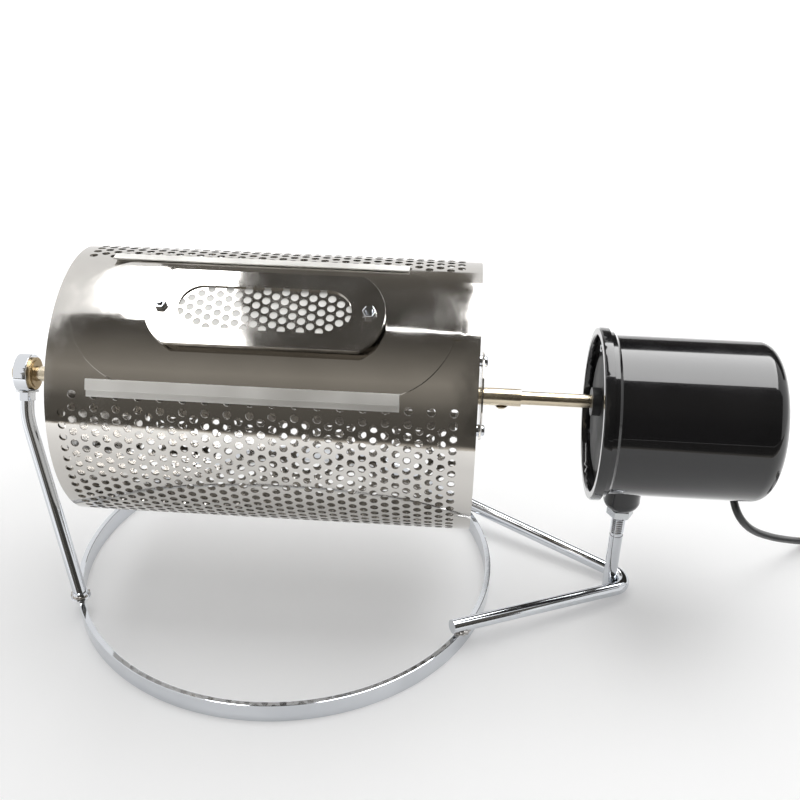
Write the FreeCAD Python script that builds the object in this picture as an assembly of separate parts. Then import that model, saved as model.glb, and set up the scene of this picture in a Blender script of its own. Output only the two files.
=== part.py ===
import FreeCAD, Part
import math
import os
from FreeCAD import Vector, Placement, Rotation

os.makedirs("parts", exist_ok=True)

# Home coffee bean roaster: a drum that turns between a bush on the left
# and a gear motor on the right, on a stand of bent rods welded to a flat-bar ring.
# Millimetres. X runs along the drum towards the motor, the door side faces -Y, Z is up.
# Angles round the drum are measured from the front horizontal, up and over the top.

# Fits and gaps
RUNNING_GAP = 0.05
SEAT_GAP = 0.05
SLIDE_GAP = 0.3
WELD_GAP = 0.02

# Drum
AXIS_HEIGHT = 120.8
DRUM_RADIUS = 69.0
DRUM_LENGTH = 200.0
SHEET = 0.8
CAP_FLANGE = 8.0
CAP_RECESS = 0.6
VANE_HEIGHT = 13.0
VANE_FOOT_ANGLE = 8.0
VANE_ANGLES = (130.0, 220.0, 310.0)
VANE_END_GAP = 1.0
VANE_SEAT_GAP = 0.12

# Sliding door and its rails
DOOR_ANGLE = 56.0
DOOR_HALF_ANGLE = 29.8
DOOR_SHORTER = 20.0
DOOR_SHIFT = -1.2
DOOR_END_DEPTH = 36.6
DOOR_SHEET = 1.0
DOOR_TAB_LENGTH = 2.2
DOOR_TAB_HALF_ANGLE = 6.0
DOOR_TAB_ROOT = 2.0
HATCH_SHORTER = 34.0
HATCH_HALF_ANGLE = 25.0
RAIL_LEFT_MARGIN = 20.0
RAIL_RIGHT_MARGIN = 35.4
RAIL_SHEET = 0.8
RAIL_LIP_ANGLE = 4.2
RAIL_FOOT_ANGLE = 2.6
RAIL_EDGE_CLEARANCE_ANGLE = 1.5
CATCH_SLIT_WIDTH = 1.0
CATCH_SLIT_MARGIN = 7.4
CATCH_SLIT_TOP_ANGLE = 76.0
CATCH_SLIT_FOOT_ANGLE = 52.5
CATCH_SLIT_REACH = 3.6

# Insulated grip on the door
GRIP_CENTRE = 0.8
GRIP_LENGTH = 110.8
GRIP_HEIGHT = 39.4
GRIP_END_RADIUS = 23.1
GRIP_CORNER = 3.0
GRIP_SHEET = 1.0
GRIP_SKIRT = 2.6
GRIP_STANDOFF = 7.6
WINDOW_LENGTH = 80.0
WINDOW_HEIGHT = 22.8
MESH_SHEET = 0.8
MESH_BORDER = 2.6
MESH_HOLE = 3.3
MESH_PITCH = 10.0
GRIP_STUD_REACH = 48.1
GRIP_STUD_RADIUS = 1.5
GRIP_NUT_FLATS = 5.5
GRIP_NUT_HEIGHT = 2.4
GRIP_STUD_PROUD = 1.4
SPACER_RADIUS = 2.6
PAD_BORDER = 1.8

# Hub plates, axle, socket and shaft
HUB_RADIUS = 22.9
HUB_SHEET = 1.0
HUB_STANDOFF = 2.6
HUB_SCREW_REACH = 17.9
HUB_SCREW_ANGLE = 119.6
HUB_SCREW_RADIUS = 1.5
HUB_HEAD_RADIUS = 3.0
HUB_HEAD_HEIGHT = 2.0
HUB_SPACER_RADIUS = 3.2
SHAFT_RADIUS = 3.5
SHAFT_DEPTH_IN_MOTOR = 26.0
SHAFT_SHORTER = 2.0
SOCKET_RADIUS = 4.6
SOCKET_LENGTH = 21.8
SET_SCREW_REACH = 11.1
SET_SCREW_RADIUS = 1.8
SET_HEAD_RADIUS = 3.7
SET_HEAD_HEIGHT = 2.2
AXLE_RADIUS = 4.0

# Bush at the left end
BUSH_LENGTH = 9.0
BUSH_RADIUS = 7.2
BUSH_COLLAR_RADIUS = 8.6
BUSH_COLLAR = 1.6
HOLDER_RADIUS = 10.4
HOLDER_WIDTH = 7.0
HOLDER_OFFSET = 38.0
HOLDER_FLAT_REACH = 8.8
AXLE_GROOVE_DEPTH = 0.8
AXLE_CLIP_PLAY = 0.6
AXLE_CLIP_RADIUS = 5.6
AXLE_CLIP_WIDTH = 1.0
AXLE_PROUD = 2.2

# Stand
RING_RADIUS = 117.0
RING_HEIGHT = 10.3
RING_BAR = 3.0
RING_CENTRE_X = -2.4
ROD_RADIUS = 3.7
LEFT_FOOT_ANGLE = 23.85
LEFT_STUD_TILT = 22.9
LEFT_STUD_RADIUS = 2.5
LEFT_NUT_FLATS = 8.0
LEFT_NUT_HEIGHT = 4.7
LEFT_WASHER_RADIUS = 6.0
LEFT_WASHER_SHEET = 1.0
LEFT_ROD_STRAIGHT = 9.0
LEFT_ROD_BEND_RUN = 6.8
BRACE_END_ANGLE = 31.12
BRACE_END_INSET = 4.4
BRACE_APEX_OFFSET = 29.2
BRACE_BEND = 9.0
BRACE_SEAT_GAP = 0.06
WELD_BEAD = 1.6
FLOOR_CLEARANCE = 1.0
THREAD_RADIUS = 3.45
THREAD_SHOWN = 14.1
MOUNT_NUT_FLATS = 12.8
MOUNT_NUT_HEIGHT = 4.6
MOUNT_BOSS_HEIGHT = 16.3
MOUNT_BOSS_RADIUS = 9.8
MOUNT_BOSS_TIP_RADIUS = 5.6
MOUNT_BOSS_ROUND = 6.0

# Motor
MOTOR_OFFSET = 60.8
MOTOR_LENGTH = 90.0
MOTOR_DROP = 6.9
CAN_RADIUS = 41.4
CAN_SHEET = 1.2
CAN_REAR_ROUND = 9.0
RIM_RADIUS = 44.9
RIM_INNER_RADIUS = 40.2
RIM_DEPTH = 5.0
RIM_EDGE = 0.8
BEAD_RADIUS = 42.9
BEAD_WIDTH = 2.6
PLATE_RECESS = 5.6
PLATE_SHEET = 2.0
GEARBOX_RADIUS = 30.0
GEARBOX_LENGTH = 42.0
GEARBOX_PROUD = 2.4
BOSS_RADIUS = 7.3
BOSS_LENGTH = 4.4
PLATE_SCREW_REACH = 36.0
PLATE_SCREW_HEAD = 2.4
PLATE_SCREW_HEIGHT = 1.8
PLATE_SCREW_LENGTH = 5.0

# Cord and plug
CORD_RADIUS = 2.1
CORD_EXIT_INSET = 9.8
CORD_EXIT_ANGLE = 4.0
GROMMET_RADIUS = 4.6
GROMMET_TIP_RADIUS = 3.0
GROMMET_LENGTH = 6.0
GROMMET_LIFT = 1.0
CORD_FLOOR_Z = 2.2
CORD_DROP = 12.0
CORD_LEAD_IN = 8.0
CORD_ROUTE_X = (4.5, 16.0, 30.5, 44.0, 57.0, 73.0)
CORD_ROUTE_Y = (7.5, 15.5, 27.0, 39.5, 49.5, 55.0)
CORD_ROUTE_SHARE = (0.6373, 0.4879, 0.3314, 0.1607, 0.0057, 0.0)
CORD_BEND_SHARE = 0.45
COIL_OFFSET = 87.2
COIL_CENTRE_Y = 24.0
COIL_MEAN_RADIUS = 24.5
COIL_PITCH = 4.8
COIL_QUARTER_TURNS = 25
COIL_STRAIGHT = 4.4
COIL_TAIL = 10.0
PLUG_LENGTH = 24.0
PLUG_WIDTH = 17.0
PLUG_HEIGHT = 13.0
PLUG_NECK_LENGTH = 18.0
PLUG_NECK_RADIUS = 3.4
PLUG_NECK_TIP_RADIUS = 2.72
PLUG_ROUND = 3.0
BLADE_LENGTH = 17.0
BLADE_WIDTH = 6.3
BLADE_SHEET = 1.5
BLADE_SPACING = 12.7

# Places worked out from the sizes above
DRUM_END_X = DRUM_LENGTH / 2
SHEET_INNER = DRUM_RADIUS - SHEET
CAP_FACE = DRUM_END_X - CAP_RECESS - CAP_FLANGE + SHEET
DOOR_LENGTH = DRUM_LENGTH - DOOR_SHORTER
HATCH_LENGTH = DOOR_LENGTH - HATCH_SHORTER
DOOR_INNER = DRUM_RADIUS + SLIDE_GAP
DOOR_OUTER = DOOR_INNER + DOOR_SHEET
LIP_INNER = DOOR_OUTER + SLIDE_GAP
LIP_OUTER = LIP_INNER + RAIL_SHEET
DOOR_LEFT_X = DOOR_SHIFT - DOOR_LENGTH / 2
DOOR_RIGHT_X = DOOR_SHIFT + DOOR_LENGTH / 2
RAIL_LEFT = RAIL_LEFT_MARGIN - DRUM_END_X
RAIL_RIGHT = DRUM_END_X - RAIL_RIGHT_MARGIN
CATCH_SLIT_X = DRUM_END_X - CATCH_SLIT_MARGIN
GRIP_TOP = DRUM_RADIUS + GRIP_STANDOFF
MOTOR_FACE_X = DRUM_END_X + MOTOR_OFFSET
MOTOR_END_X = MOTOR_FACE_X + MOTOR_LENGTH
MOTOR_HEIGHT = AXIS_HEIGHT - MOTOR_DROP
CAN_UNDERSIDE = MOTOR_HEIGHT - CAN_RADIUS
PLATE_X = MOTOR_FACE_X + PLATE_RECESS
GEARBOX_X = PLATE_X - GEARBOX_PROUD
BOSS_X = GEARBOX_X - BOSS_LENGTH
HUB_X = DRUM_END_X + HUB_STANDOFF
SET_SCREW_X = HUB_X + SET_SCREW_REACH
HOLDER_CENTRE_X = -DRUM_END_X - HOLDER_OFFSET
HOLDER_LEFT_X = HOLDER_CENTRE_X - HOLDER_WIDTH / 2
HOLDER_RIGHT_X = HOLDER_CENTRE_X + HOLDER_WIDTH / 2
AXLE_END_X = HOLDER_LEFT_X - AXLE_CLIP_WIDTH - AXLE_PROUD
LEFT_TIP_X = HOLDER_CENTRE_X - LEFT_WASHER_RADIUS
LEFT_END_X = min(AXLE_END_X, LEFT_TIP_X)
MOUNT_NUT_Z = CAN_UNDERSIDE - MOUNT_BOSS_HEIGHT - MOUNT_NUT_HEIGHT
THREAD_START_Z = MOUNT_NUT_Z - THREAD_SHOWN
BRACE_END_REACH = RING_RADIUS - BRACE_END_INSET
BRACE_END_X = RING_CENTRE_X + BRACE_END_REACH * math.cos(math.radians(BRACE_END_ANGLE))
BRACE_END_Y = BRACE_END_REACH * math.sin(math.radians(BRACE_END_ANGLE))
BRACE_APEX_X = MOTOR_FACE_X + BRACE_APEX_OFFSET
CORD_EXIT_X = MOTOR_END_X - CORD_EXIT_INSET
COIL_CENTRE_X = MOTOR_END_X + COIL_OFFSET
CUT_MARGIN = 1.0

# The frame's origin is on the floor under the middle of the roaster's whole length.
MIDDLE_X = (LEFT_END_X + MOTOR_END_X) / 2


def save(name, shape):
    """Write one sub-part, moved to the frame's origin."""
    moved = shape.copy()
    moved.translate(Vector(-MIDDLE_X, 0, 0))
    moved.exportStep("parts/%s.step" % name)
    print(name, "solids", len(moved.Solids), "valid", moved.isValid())


def around(x, angle, radius):
    """Point at x, at an angle round the drum's axis and a radius from it."""
    turn = math.radians(angle)
    return Vector(x, -radius * math.cos(turn), AXIS_HEIGHT + radius * math.sin(turn))


def bar_x(radius, x0, x1, y=0.0, z=AXIS_HEIGHT):
    """Round bar along X."""
    return Part.makeCylinder(radius, x1 - x0, Vector(x0, y, z), Vector(1, 0, 0))


def tube_x(outer, inner, x0, x1, y=0.0, z=AXIS_HEIGHT):
    """Tube along X."""
    return bar_x(outer, x0, x1, y, z).cut(bar_x(inner, x0 - CUT_MARGIN, x1 + CUT_MARGIN, y, z))


def curved_strip(inner, outer, x0, x1, angle0, angle1):
    """Strip of sheet that follows the drum between two angles."""
    corners = [around(x0, angle0, inner), around(x1, angle0, inner),
               around(x1, angle0, outer), around(x0, angle0, outer)]
    face = Part.Face(Part.makePolygon(corners + corners[:1]))
    return face.revolve(Vector(0, 0, AXIS_HEIGHT), Vector(-1, 0, 0), angle1 - angle0)


def joined(shapes):
    """Fuse a list of touching shapes into one."""
    return shapes[0].multiFuse(shapes[1:]).removeSplitter()


def hexagon_prism(flats, height, base, axis):
    """Hexagonal prism across the given flats, from a base point along an axis."""
    reach = flats / math.sqrt(3)
    turn = Rotation(Vector(0, 0, 1), axis)
    corners = []
    for i in range(7):
        angle = math.radians(60 * i)
        corners.append(turn.multVec(Vector(reach * math.cos(angle), reach * math.sin(angle), 0)) + base)
    return Part.Face(Part.makePolygon(corners)).extrude(axis * (height / axis.Length))


def rounded_path(points, radii):
    """Wire of straight runs joined by tangent arcs."""
    edges = []
    start = points[0]
    for i in range(1, len(points) - 1):
        into = (points[i] - points[i - 1]).normalize()
        out = (points[i + 1] - points[i]).normalize()
        turn = math.acos(max(-1.0, min(1.0, into.dot(out))))
        trim = radii[i - 1] * math.tan(turn / 2)
        arc_start = points[i] - into * trim
        arc_end = points[i] + out * trim
        bisector = (out - into).normalize()
        centre = points[i] + bisector * (radii[i - 1] / math.cos(turn / 2))
        middle = centre - bisector * radii[i - 1]
        edges.append(Part.LineSegment(start, arc_start).toShape())
        edges.append(Part.Arc(arc_start, middle, arc_end).toShape())
        start = arc_end
    edges.append(Part.LineSegment(start, points[-1]).toShape())
    return Part.Wire(edges)


def rod_along(wire, radius):
    """Round rod swept along a wire."""
    start = wire.OrderedEdges[0]
    tangent = start.tangentAt(start.FirstParameter)
    profile = Part.Wire(Part.makeCircle(radius, wire.OrderedVertexes[0].Point, tangent))
    return Part.Solid(wire.makePipeShell([profile], True, False))


# Door frame of reference: local X along the drum, Y up over the drum, Z out from its axis.
DOOR_PLACE = Placement(Vector(0, 0, AXIS_HEIGHT), Rotation(Vector(1, 0, 0), 90 - DOOR_ANGLE))


def on_door(shape):
    """Place a shape drawn in the door's flat frame."""
    moved = shape.copy()
    moved.Placement = DOOR_PLACE.multiply(moved.Placement)
    return moved


def stadium(x0, x1, half_height, end_depth):
    """Long outline with curved ends, in the door's flat frame."""
    left = x0 + end_depth
    right = x1 - end_depth
    edges = [Part.LineSegment(Vector(left, half_height, 0), Vector(right, half_height, 0)).toShape(),
             end_curve(right, half_height, end_depth),
             Part.LineSegment(Vector(right, -half_height, 0), Vector(left, -half_height, 0)).toShape(),
             end_curve(left, half_height, -end_depth)]
    return Part.Wire(Part.__sortEdges__(edges))


def end_curve(x, half_height, depth):
    """Half of an ellipse or circle that closes one end of a stadium."""
    top = Vector(x, half_height, 0)
    end = Vector(x + depth, 0, 0)
    middle = Vector(x, 0, 0)
    if abs(abs(depth) - half_height) < 1e-6:
        return Part.Arc(top, end, Vector(x, -half_height, 0)).toShape()
    if abs(depth) > half_height:
        return Part.Ellipse(end, top, middle).toShape(-math.pi / 2, math.pi / 2)
    return Part.Ellipse(top, end, middle).toShape(0, math.pi)


def prism(wire, z0, z1):
    """Upright prism on an outline in the door's flat frame."""
    face = Part.Face(wire)
    face.translate(Vector(0, 0, z0))
    return face.extrude(Vector(0, 0, z1 - z0))


def drum_sheet():
    """Rolled sheet with the hatch under the door and the slit that frees the catch."""
    sheet = tube_x(DRUM_RADIUS, SHEET_INNER, -DRUM_END_X, DRUM_END_X)
    hatch_half = DRUM_RADIUS * math.sin(math.radians(HATCH_HALF_ANGLE))
    hatch_left = DOOR_SHIFT - HATCH_LENGTH / 2
    hatch = stadium(hatch_left, hatch_left + HATCH_LENGTH, hatch_half, hatch_half)
    sheet = sheet.cut(on_door(prism(hatch, DRUM_RADIUS / 2, DRUM_RADIUS + CUT_MARGIN)))
    half_slit = CATCH_SLIT_WIDTH / 2
    slit_angle = math.degrees(CATCH_SLIT_WIDTH / DRUM_RADIUS)
    inner = SHEET_INNER - CUT_MARGIN
    outer = DRUM_RADIUS + CUT_MARGIN
    slit = curved_strip(inner, outer, CATCH_SLIT_X - half_slit,
                        CATCH_SLIT_X + half_slit, CATCH_SLIT_FOOT_ANGLE, CATCH_SLIT_TOP_ANGLE)
    foot = curved_strip(inner, outer, CATCH_SLIT_X - CATCH_SLIT_REACH,
                        CATCH_SLIT_X + half_slit, CATCH_SLIT_FOOT_ANGLE - slit_angle,
                        CATCH_SLIT_FOOT_ANGLE)
    return sheet.cut([slit, foot])


def end_cap(side):
    """Pan-shaped end of the drum: a disc with its flange turned outwards inside the sheet."""
    outer = SHEET_INNER - SEAT_GAP
    edge = DRUM_END_X - CAP_RECESS
    pan = tube_x(outer, outer - SHEET, edge - CAP_FLANGE, edge)
    disc = bar_x(outer, edge - CAP_FLANGE, edge - CAP_FLANGE + SHEET)
    cap = joined([pan, disc])
    return cap if side > 0 else mirrored(cap)


def mirrored(shape):
    """The same piece at the drum's other end."""
    return shape.mirror(Vector(0, 0, 0), Vector(1, 0, 0))


def mixing_vanes():
    """Fins welded inside the drum that lift and turn the beans."""
    half = DRUM_END_X - CAP_RECESS - CAP_FLANGE - VANE_END_GAP
    outer = SHEET_INNER - VANE_SEAT_GAP
    web_angle = math.degrees(SHEET / outer)
    vanes = []
    for angle in VANE_ANGLES:
        foot = curved_strip(outer - SHEET, outer, -half, half, angle, angle + VANE_FOOT_ANGLE)
        web = curved_strip(outer - VANE_HEIGHT, outer, -half, half, angle, angle + web_angle)
        vanes.append(joined([foot, web]))
    return Part.makeCompound(vanes)


def rail(side):
    """Z-shaped strip along the door: foot on the drum, web, and lip over the door's edge."""
    edge = DOOR_ANGLE + side * (DOOR_HALF_ANGLE + RAIL_EDGE_CLEARANCE_ANGLE)
    web_angle = math.degrees(RAIL_SHEET / DRUM_RADIUS)
    seat = DRUM_RADIUS + WELD_GAP

    def strip(inner, outer, first, last):
        low, high = sorted((edge + side * first, edge + side * last))
        return curved_strip(inner, outer, RAIL_LEFT, RAIL_RIGHT, low, high)

    foot = strip(seat, seat + RAIL_SHEET, 0, web_angle + RAIL_FOOT_ANGLE)
    web = strip(seat, LIP_OUTER, 0, web_angle)
    lip = strip(LIP_INNER, LIP_OUTER, web_angle, web_angle - RAIL_LIP_ANGLE)
    return joined([foot, web, lip])


def door_panel():
    """Curved plate with rounded ends and a tab at the catch, drilled for the grip's studs."""
    low = DOOR_ANGLE - DOOR_HALF_ANGLE
    high = DOOR_ANGLE + DOOR_HALF_ANGLE
    plate = curved_strip(DOOR_INNER, DOOR_OUTER, DOOR_LEFT_X, DOOR_RIGHT_X, low, high)
    half = DOOR_OUTER * math.sin(math.radians(DOOR_HALF_ANGLE))
    outline = prism(stadium(DOOR_LEFT_X, DOOR_RIGHT_X, half, DOOR_END_DEPTH),
                    DRUM_RADIUS / 2, DOOR_OUTER + CUT_MARGIN)
    tab = curved_strip(DOOR_INNER, DOOR_OUTER, DOOR_RIGHT_X - DOOR_TAB_ROOT,
                       DOOR_RIGHT_X + DOOR_TAB_LENGTH,
                       DOOR_ANGLE - DOOR_TAB_HALF_ANGLE, DOOR_ANGLE + DOOR_TAB_HALF_ANGLE)
    door = joined([plate.common(on_door(outline)), tab])
    return door.cut([stud_bar(side, GRIP_STUD_RADIUS + SEAT_GAP) for side in (-1, 1)])


def stud_bar(side, radius):
    """Round bar along one grip stud, from under the door to past the grip."""
    x = GRIP_CENTRE + side * GRIP_STUD_REACH
    bar = Part.makeCylinder(radius, GRIP_TOP, Vector(x, 0, DRUM_RADIUS / 2))
    return on_door(bar)


def grip_outline(inset):
    """Plate with straight long sides and ends that bulge on a large radius."""
    half = GRIP_HEIGHT / 2 - inset
    radius = GRIP_END_RADIUS - inset
    reach = GRIP_LENGTH / 2 - inset
    centre = reach - radius
    corner = centre + math.sqrt(radius ** 2 - half ** 2)
    left = GRIP_CENTRE - corner
    right = GRIP_CENTRE + corner
    top = Part.LineSegment(Vector(left, half, 0), Vector(right, half, 0)).toShape()
    bottom = Part.LineSegment(Vector(right, -half, 0), Vector(left, -half, 0)).toShape()
    right_end = Part.Arc(Vector(right, half, 0), Vector(GRIP_CENTRE + reach, 0, 0),
                         Vector(right, -half, 0)).toShape()
    left_end = Part.Arc(Vector(left, -half, 0), Vector(GRIP_CENTRE - reach, 0, 0),
                        Vector(left, half, 0)).toShape()
    return Part.Wire([top, right_end, bottom, left_end])


def window_outline(border):
    """Window of the grip, grown by a border."""
    half = WINDOW_HEIGHT / 2 + border
    reach = WINDOW_LENGTH / 2 + border
    return stadium(GRIP_CENTRE - reach, GRIP_CENTRE + reach, half, half)


def upright_edges(shape, reach_x):
    """Edges along the door's normal that lie further out than reach_x from the grip's centre."""
    found = []
    for edge in shape.Edges:
        ends = edge.Vertexes
        if len(ends) != 2:
            continue
        along = ends[1].Point - ends[0].Point
        if abs(along.x) + abs(along.y) < 1e-6 and abs(ends[0].Point.x - GRIP_CENTRE) > reach_x:
            found.append(edge)
    return found


def grip_frame():
    """Pressed frame: a flat top with a window, and a skirt all round that stands off the door."""
    block = prism(grip_outline(0), GRIP_TOP - GRIP_SKIRT, GRIP_TOP)
    block = block.makeFillet(GRIP_CORNER, upright_edges(block, 0))
    low = GRIP_TOP - GRIP_SKIRT - CUT_MARGIN
    hollow = prism(grip_outline(GRIP_SHEET), low, GRIP_TOP - GRIP_SHEET)
    hollow = hollow.makeFillet(GRIP_CORNER - GRIP_SHEET, upright_edges(hollow, 0))
    window = prism(window_outline(0), low, GRIP_TOP + CUT_MARGIN)
    frame = on_door(block.cut(hollow).cut(window))
    return frame.cut([stud_bar(side, GRIP_STUD_RADIUS + SEAT_GAP) for side in (-1, 1)])


def grip_mesh():
    """Perforated plate behind the window, its holes thinned out."""
    top = GRIP_TOP - GRIP_SHEET - WELD_GAP
    plate = prism(window_outline(MESH_BORDER), top - MESH_SHEET, top)
    rows = int(WINDOW_HEIGHT / 2 // (MESH_PITCH / 2))
    columns = int(WINDOW_LENGTH / 2 // (MESH_PITCH * math.sqrt(3) / 2))
    cutters = []
    for column in range(-columns, columns + 1):
        for row in range(-rows, rows + 1):
            if (row + column) % 2:
                continue
            across = column * MESH_PITCH * math.sqrt(3) / 2
            y = row * MESH_PITCH / 2
            past_straight = max(abs(across) - (WINDOW_LENGTH - WINDOW_HEIGHT) / 2, 0)
            if math.hypot(past_straight, y) < WINDOW_HEIGHT / 2 - MESH_HOLE / 2:
                base = Vector(GRIP_CENTRE + across, y, top - MESH_SHEET - CUT_MARGIN)
                cutters.append(hexagon_prism(MESH_HOLE, MESH_SHEET + 2 * CUT_MARGIN, base, Vector(0, 0, 1)))
    return on_door(plate.cut(cutters))


def grip_pad():
    """Pale heat-insulating pad between the mesh and the door."""
    top = GRIP_TOP - GRIP_SHEET - MESH_SHEET - 2 * WELD_GAP - SEAT_GAP
    block = on_door(prism(window_outline(PAD_BORDER), DOOR_INNER / 2, top))
    hollow = bar_x(DOOR_OUTER + SEAT_GAP, -DRUM_END_X, DRUM_END_X)
    return block.cut(hollow)


def grip_spacers():
    """Sleeves on the studs that hold the frame off the door."""
    spacers = []
    for side in (-1, 1):
        x = GRIP_CENTRE + side * GRIP_STUD_REACH
        top = GRIP_TOP - GRIP_SHEET - SEAT_GAP
        base = DRUM_RADIUS / 2
        sleeve = on_door(Part.makeCylinder(SPACER_RADIUS, top - base, Vector(x, 0, base)))
        sleeve = sleeve.cut(bar_x(DOOR_OUTER + SEAT_GAP, -DRUM_END_X, DRUM_END_X))
        spacers.append(sleeve.cut(stud_bar(side, GRIP_STUD_RADIUS + SEAT_GAP)))
    return Part.makeCompound(spacers)


def grip_studs():
    """Welded studs of the door that carry the grip."""
    studs = []
    for side in (-1, 1):
        x = GRIP_CENTRE + side * GRIP_STUD_REACH
        top = GRIP_TOP + GRIP_NUT_HEIGHT + GRIP_STUD_PROUD
        base = DOOR_INNER
        studs.append(on_door(Part.makeCylinder(GRIP_STUD_RADIUS, top - base, Vector(x, 0, base))))
    return Part.makeCompound(studs)


def grip_nuts():
    """Hexagon nuts on the studs."""
    nuts = []
    for side in (-1, 1):
        x = GRIP_CENTRE + side * GRIP_STUD_REACH
        base = Vector(x, 0, GRIP_TOP + WELD_GAP)
        nut = on_door(hexagon_prism(GRIP_NUT_FLATS, GRIP_NUT_HEIGHT, base, Vector(0, 0, 1)))
        nuts.append(nut.cut(stud_bar(side, GRIP_STUD_RADIUS + WELD_GAP)))
    return Part.makeCompound(nuts)


def hub_screw_place(side):
    """Height and depth of one hub screw from the axis."""
    angle = HUB_SCREW_ANGLE if side > 0 else HUB_SCREW_ANGLE + 180
    place = around(0, angle, HUB_SCREW_REACH)
    return place.y, place.z


def hub_plate():
    """Round plate at the drum's end that carries the socket or the axle."""
    plate = bar_x(HUB_RADIUS, HUB_X, HUB_X + HUB_SHEET)
    holes = []
    for side in (-1, 1):
        y, z = hub_screw_place(side)
        holes.append(bar_x(HUB_SCREW_RADIUS + SEAT_GAP, HUB_X - CUT_MARGIN,
                           HUB_X + HUB_SHEET + CUT_MARGIN, y, z))
    return plate.cut(holes)


def hub_screws():
    """Pan-head screws through the hub plate, with the spacers under it."""
    screws = []
    for side in (-1, 1):
        y, z = hub_screw_place(side)
        head_x = HUB_X + HUB_SHEET + WELD_GAP
        shank = bar_x(HUB_SCREW_RADIUS, CAP_FACE + WELD_GAP, head_x, y, z)
        head = bar_x(HUB_HEAD_RADIUS, head_x, head_x + HUB_HEAD_HEIGHT, y, z)
        head = head.makeFillet(HUB_HEAD_HEIGHT * 0.7, [head.Edges[0]])
        spacer = bar_x(HUB_SPACER_RADIUS, CAP_FACE + WELD_GAP, HUB_X - WELD_GAP, y, z)
        screws.append(joined([shank, head, spacer]))
    return Part.makeCompound(screws)


def shaft_socket():
    """Tube on the hub plate that takes the motor's shaft, with the hole of its set screw."""
    end = HUB_X + SOCKET_LENGTH - HUB_SHEET
    socket = tube_x(SOCKET_RADIUS, SHAFT_RADIUS + SEAT_GAP, CAP_FACE + WELD_GAP, end)
    hole = Part.makeCylinder(SET_SCREW_RADIUS + WELD_GAP, SOCKET_RADIUS + CUT_MARGIN,
                             Vector(SET_SCREW_X, 0, AXIS_HEIGHT), Vector(0, 0, -1))
    return socket.cut(hole)


def set_screw():
    """Screw from below that locks the shaft in its socket."""
    head_top = AXIS_HEIGHT - SOCKET_RADIUS - WELD_GAP
    shank = Part.makeCylinder(SET_SCREW_RADIUS, SOCKET_RADIUS - SHAFT_RADIUS,
                              Vector(SET_SCREW_X, 0, head_top), Vector(0, 0, 1))
    head_low = head_top - SET_HEAD_HEIGHT
    head = Part.makeCylinder(SET_HEAD_RADIUS, SET_HEAD_HEIGHT, Vector(SET_SCREW_X, 0, head_low))
    dome = Part.makeSphere(SET_HEAD_RADIUS, Vector(SET_SCREW_X, 0, head_low + SET_HEAD_RADIUS))
    return joined([shank, head.common(dome)])


def drive_shaft():
    """Output shaft of the gear motor, turning with the drum."""
    return bar_x(SHAFT_RADIUS, CAP_FACE + SHAFT_SHORTER, PLATE_X + SHAFT_DEPTH_IN_MOTOR)


def left_axle():
    """Axle of the left hub plate, turning in the bush."""
    edge = HOLDER_LEFT_X - AXLE_CLIP_PLAY
    groove = tube_x(AXLE_RADIUS + CUT_MARGIN, AXLE_RADIUS - AXLE_GROOVE_DEPTH, edge - AXLE_CLIP_WIDTH, edge)
    return bar_x(AXLE_RADIUS, AXLE_END_X, -CAP_FACE - WELD_GAP).cut(groove)


def axle_clip():
    """Retaining ring in the axle's groove, outside the bush."""
    edge = HOLDER_LEFT_X - AXLE_CLIP_PLAY
    bore = AXLE_RADIUS - AXLE_GROOVE_DEPTH + WELD_GAP
    return tube_x(AXLE_CLIP_RADIUS, bore, edge - AXLE_CLIP_WIDTH, edge)


def bearing_bush():
    """Bronze bush with a collar on the drum's side."""
    body = bar_x(BUSH_RADIUS, HOLDER_LEFT_X, HOLDER_LEFT_X + BUSH_LENGTH)
    seat = HOLDER_RIGHT_X + WELD_GAP
    collar = bar_x(BUSH_COLLAR_RADIUS, seat, seat + BUSH_COLLAR)
    bore = bar_x(AXLE_RADIUS + RUNNING_GAP, HOLDER_LEFT_X - CUT_MARGIN, -DRUM_END_X)
    return joined([body, collar]).cut(bore)


STUD_TILT = math.radians(LEFT_STUD_TILT)
STUD_AXIS = Vector(0, -math.sin(STUD_TILT), -math.cos(STUD_TILT))
HOLDER_CENTRE = Vector(HOLDER_CENTRE_X, 0, AXIS_HEIGHT)


def along_stud(reach):
    """Point on the stud's line, measured from the drum's axis."""
    return HOLDER_CENTRE + STUD_AXIS * reach


def bearing_holder():
    """Ring round the bush, with the flat that the left upright bolts to."""
    ring = tube_x(HOLDER_RADIUS, BUSH_RADIUS + SEAT_GAP, HOLDER_LEFT_X, HOLDER_RIGHT_X)
    cutter = Part.makeCylinder(HOLDER_RADIUS * 2, HOLDER_RADIUS, along_stud(HOLDER_FLAT_REACH), STUD_AXIS)
    return ring.cut(cutter)


WASHER_REACH = HOLDER_FLAT_REACH + WELD_GAP
NUT_REACH = WASHER_REACH + LEFT_WASHER_SHEET + WELD_GAP
ROD_REACH = NUT_REACH + LEFT_NUT_HEIGHT + WELD_GAP


def bearing_washer():
    """Plain washer under the bearing holder."""
    disc = Part.makeCylinder(LEFT_WASHER_RADIUS, LEFT_WASHER_SHEET, along_stud(WASHER_REACH), STUD_AXIS)
    return disc.cut(stud_hole())


def bearing_nut():
    """Hexagon nut that locks the left upright to its holder."""
    nut = hexagon_prism(LEFT_NUT_FLATS, LEFT_NUT_HEIGHT, along_stud(NUT_REACH), STUD_AXIS)
    return nut.cut(stud_hole())


def stud_hole():
    """Clearance hole round the stud."""
    return Part.makeCylinder(LEFT_STUD_RADIUS + WELD_GAP, HOLDER_RADIUS * 2, HOLDER_CENTRE, STUD_AXIS)


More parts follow.
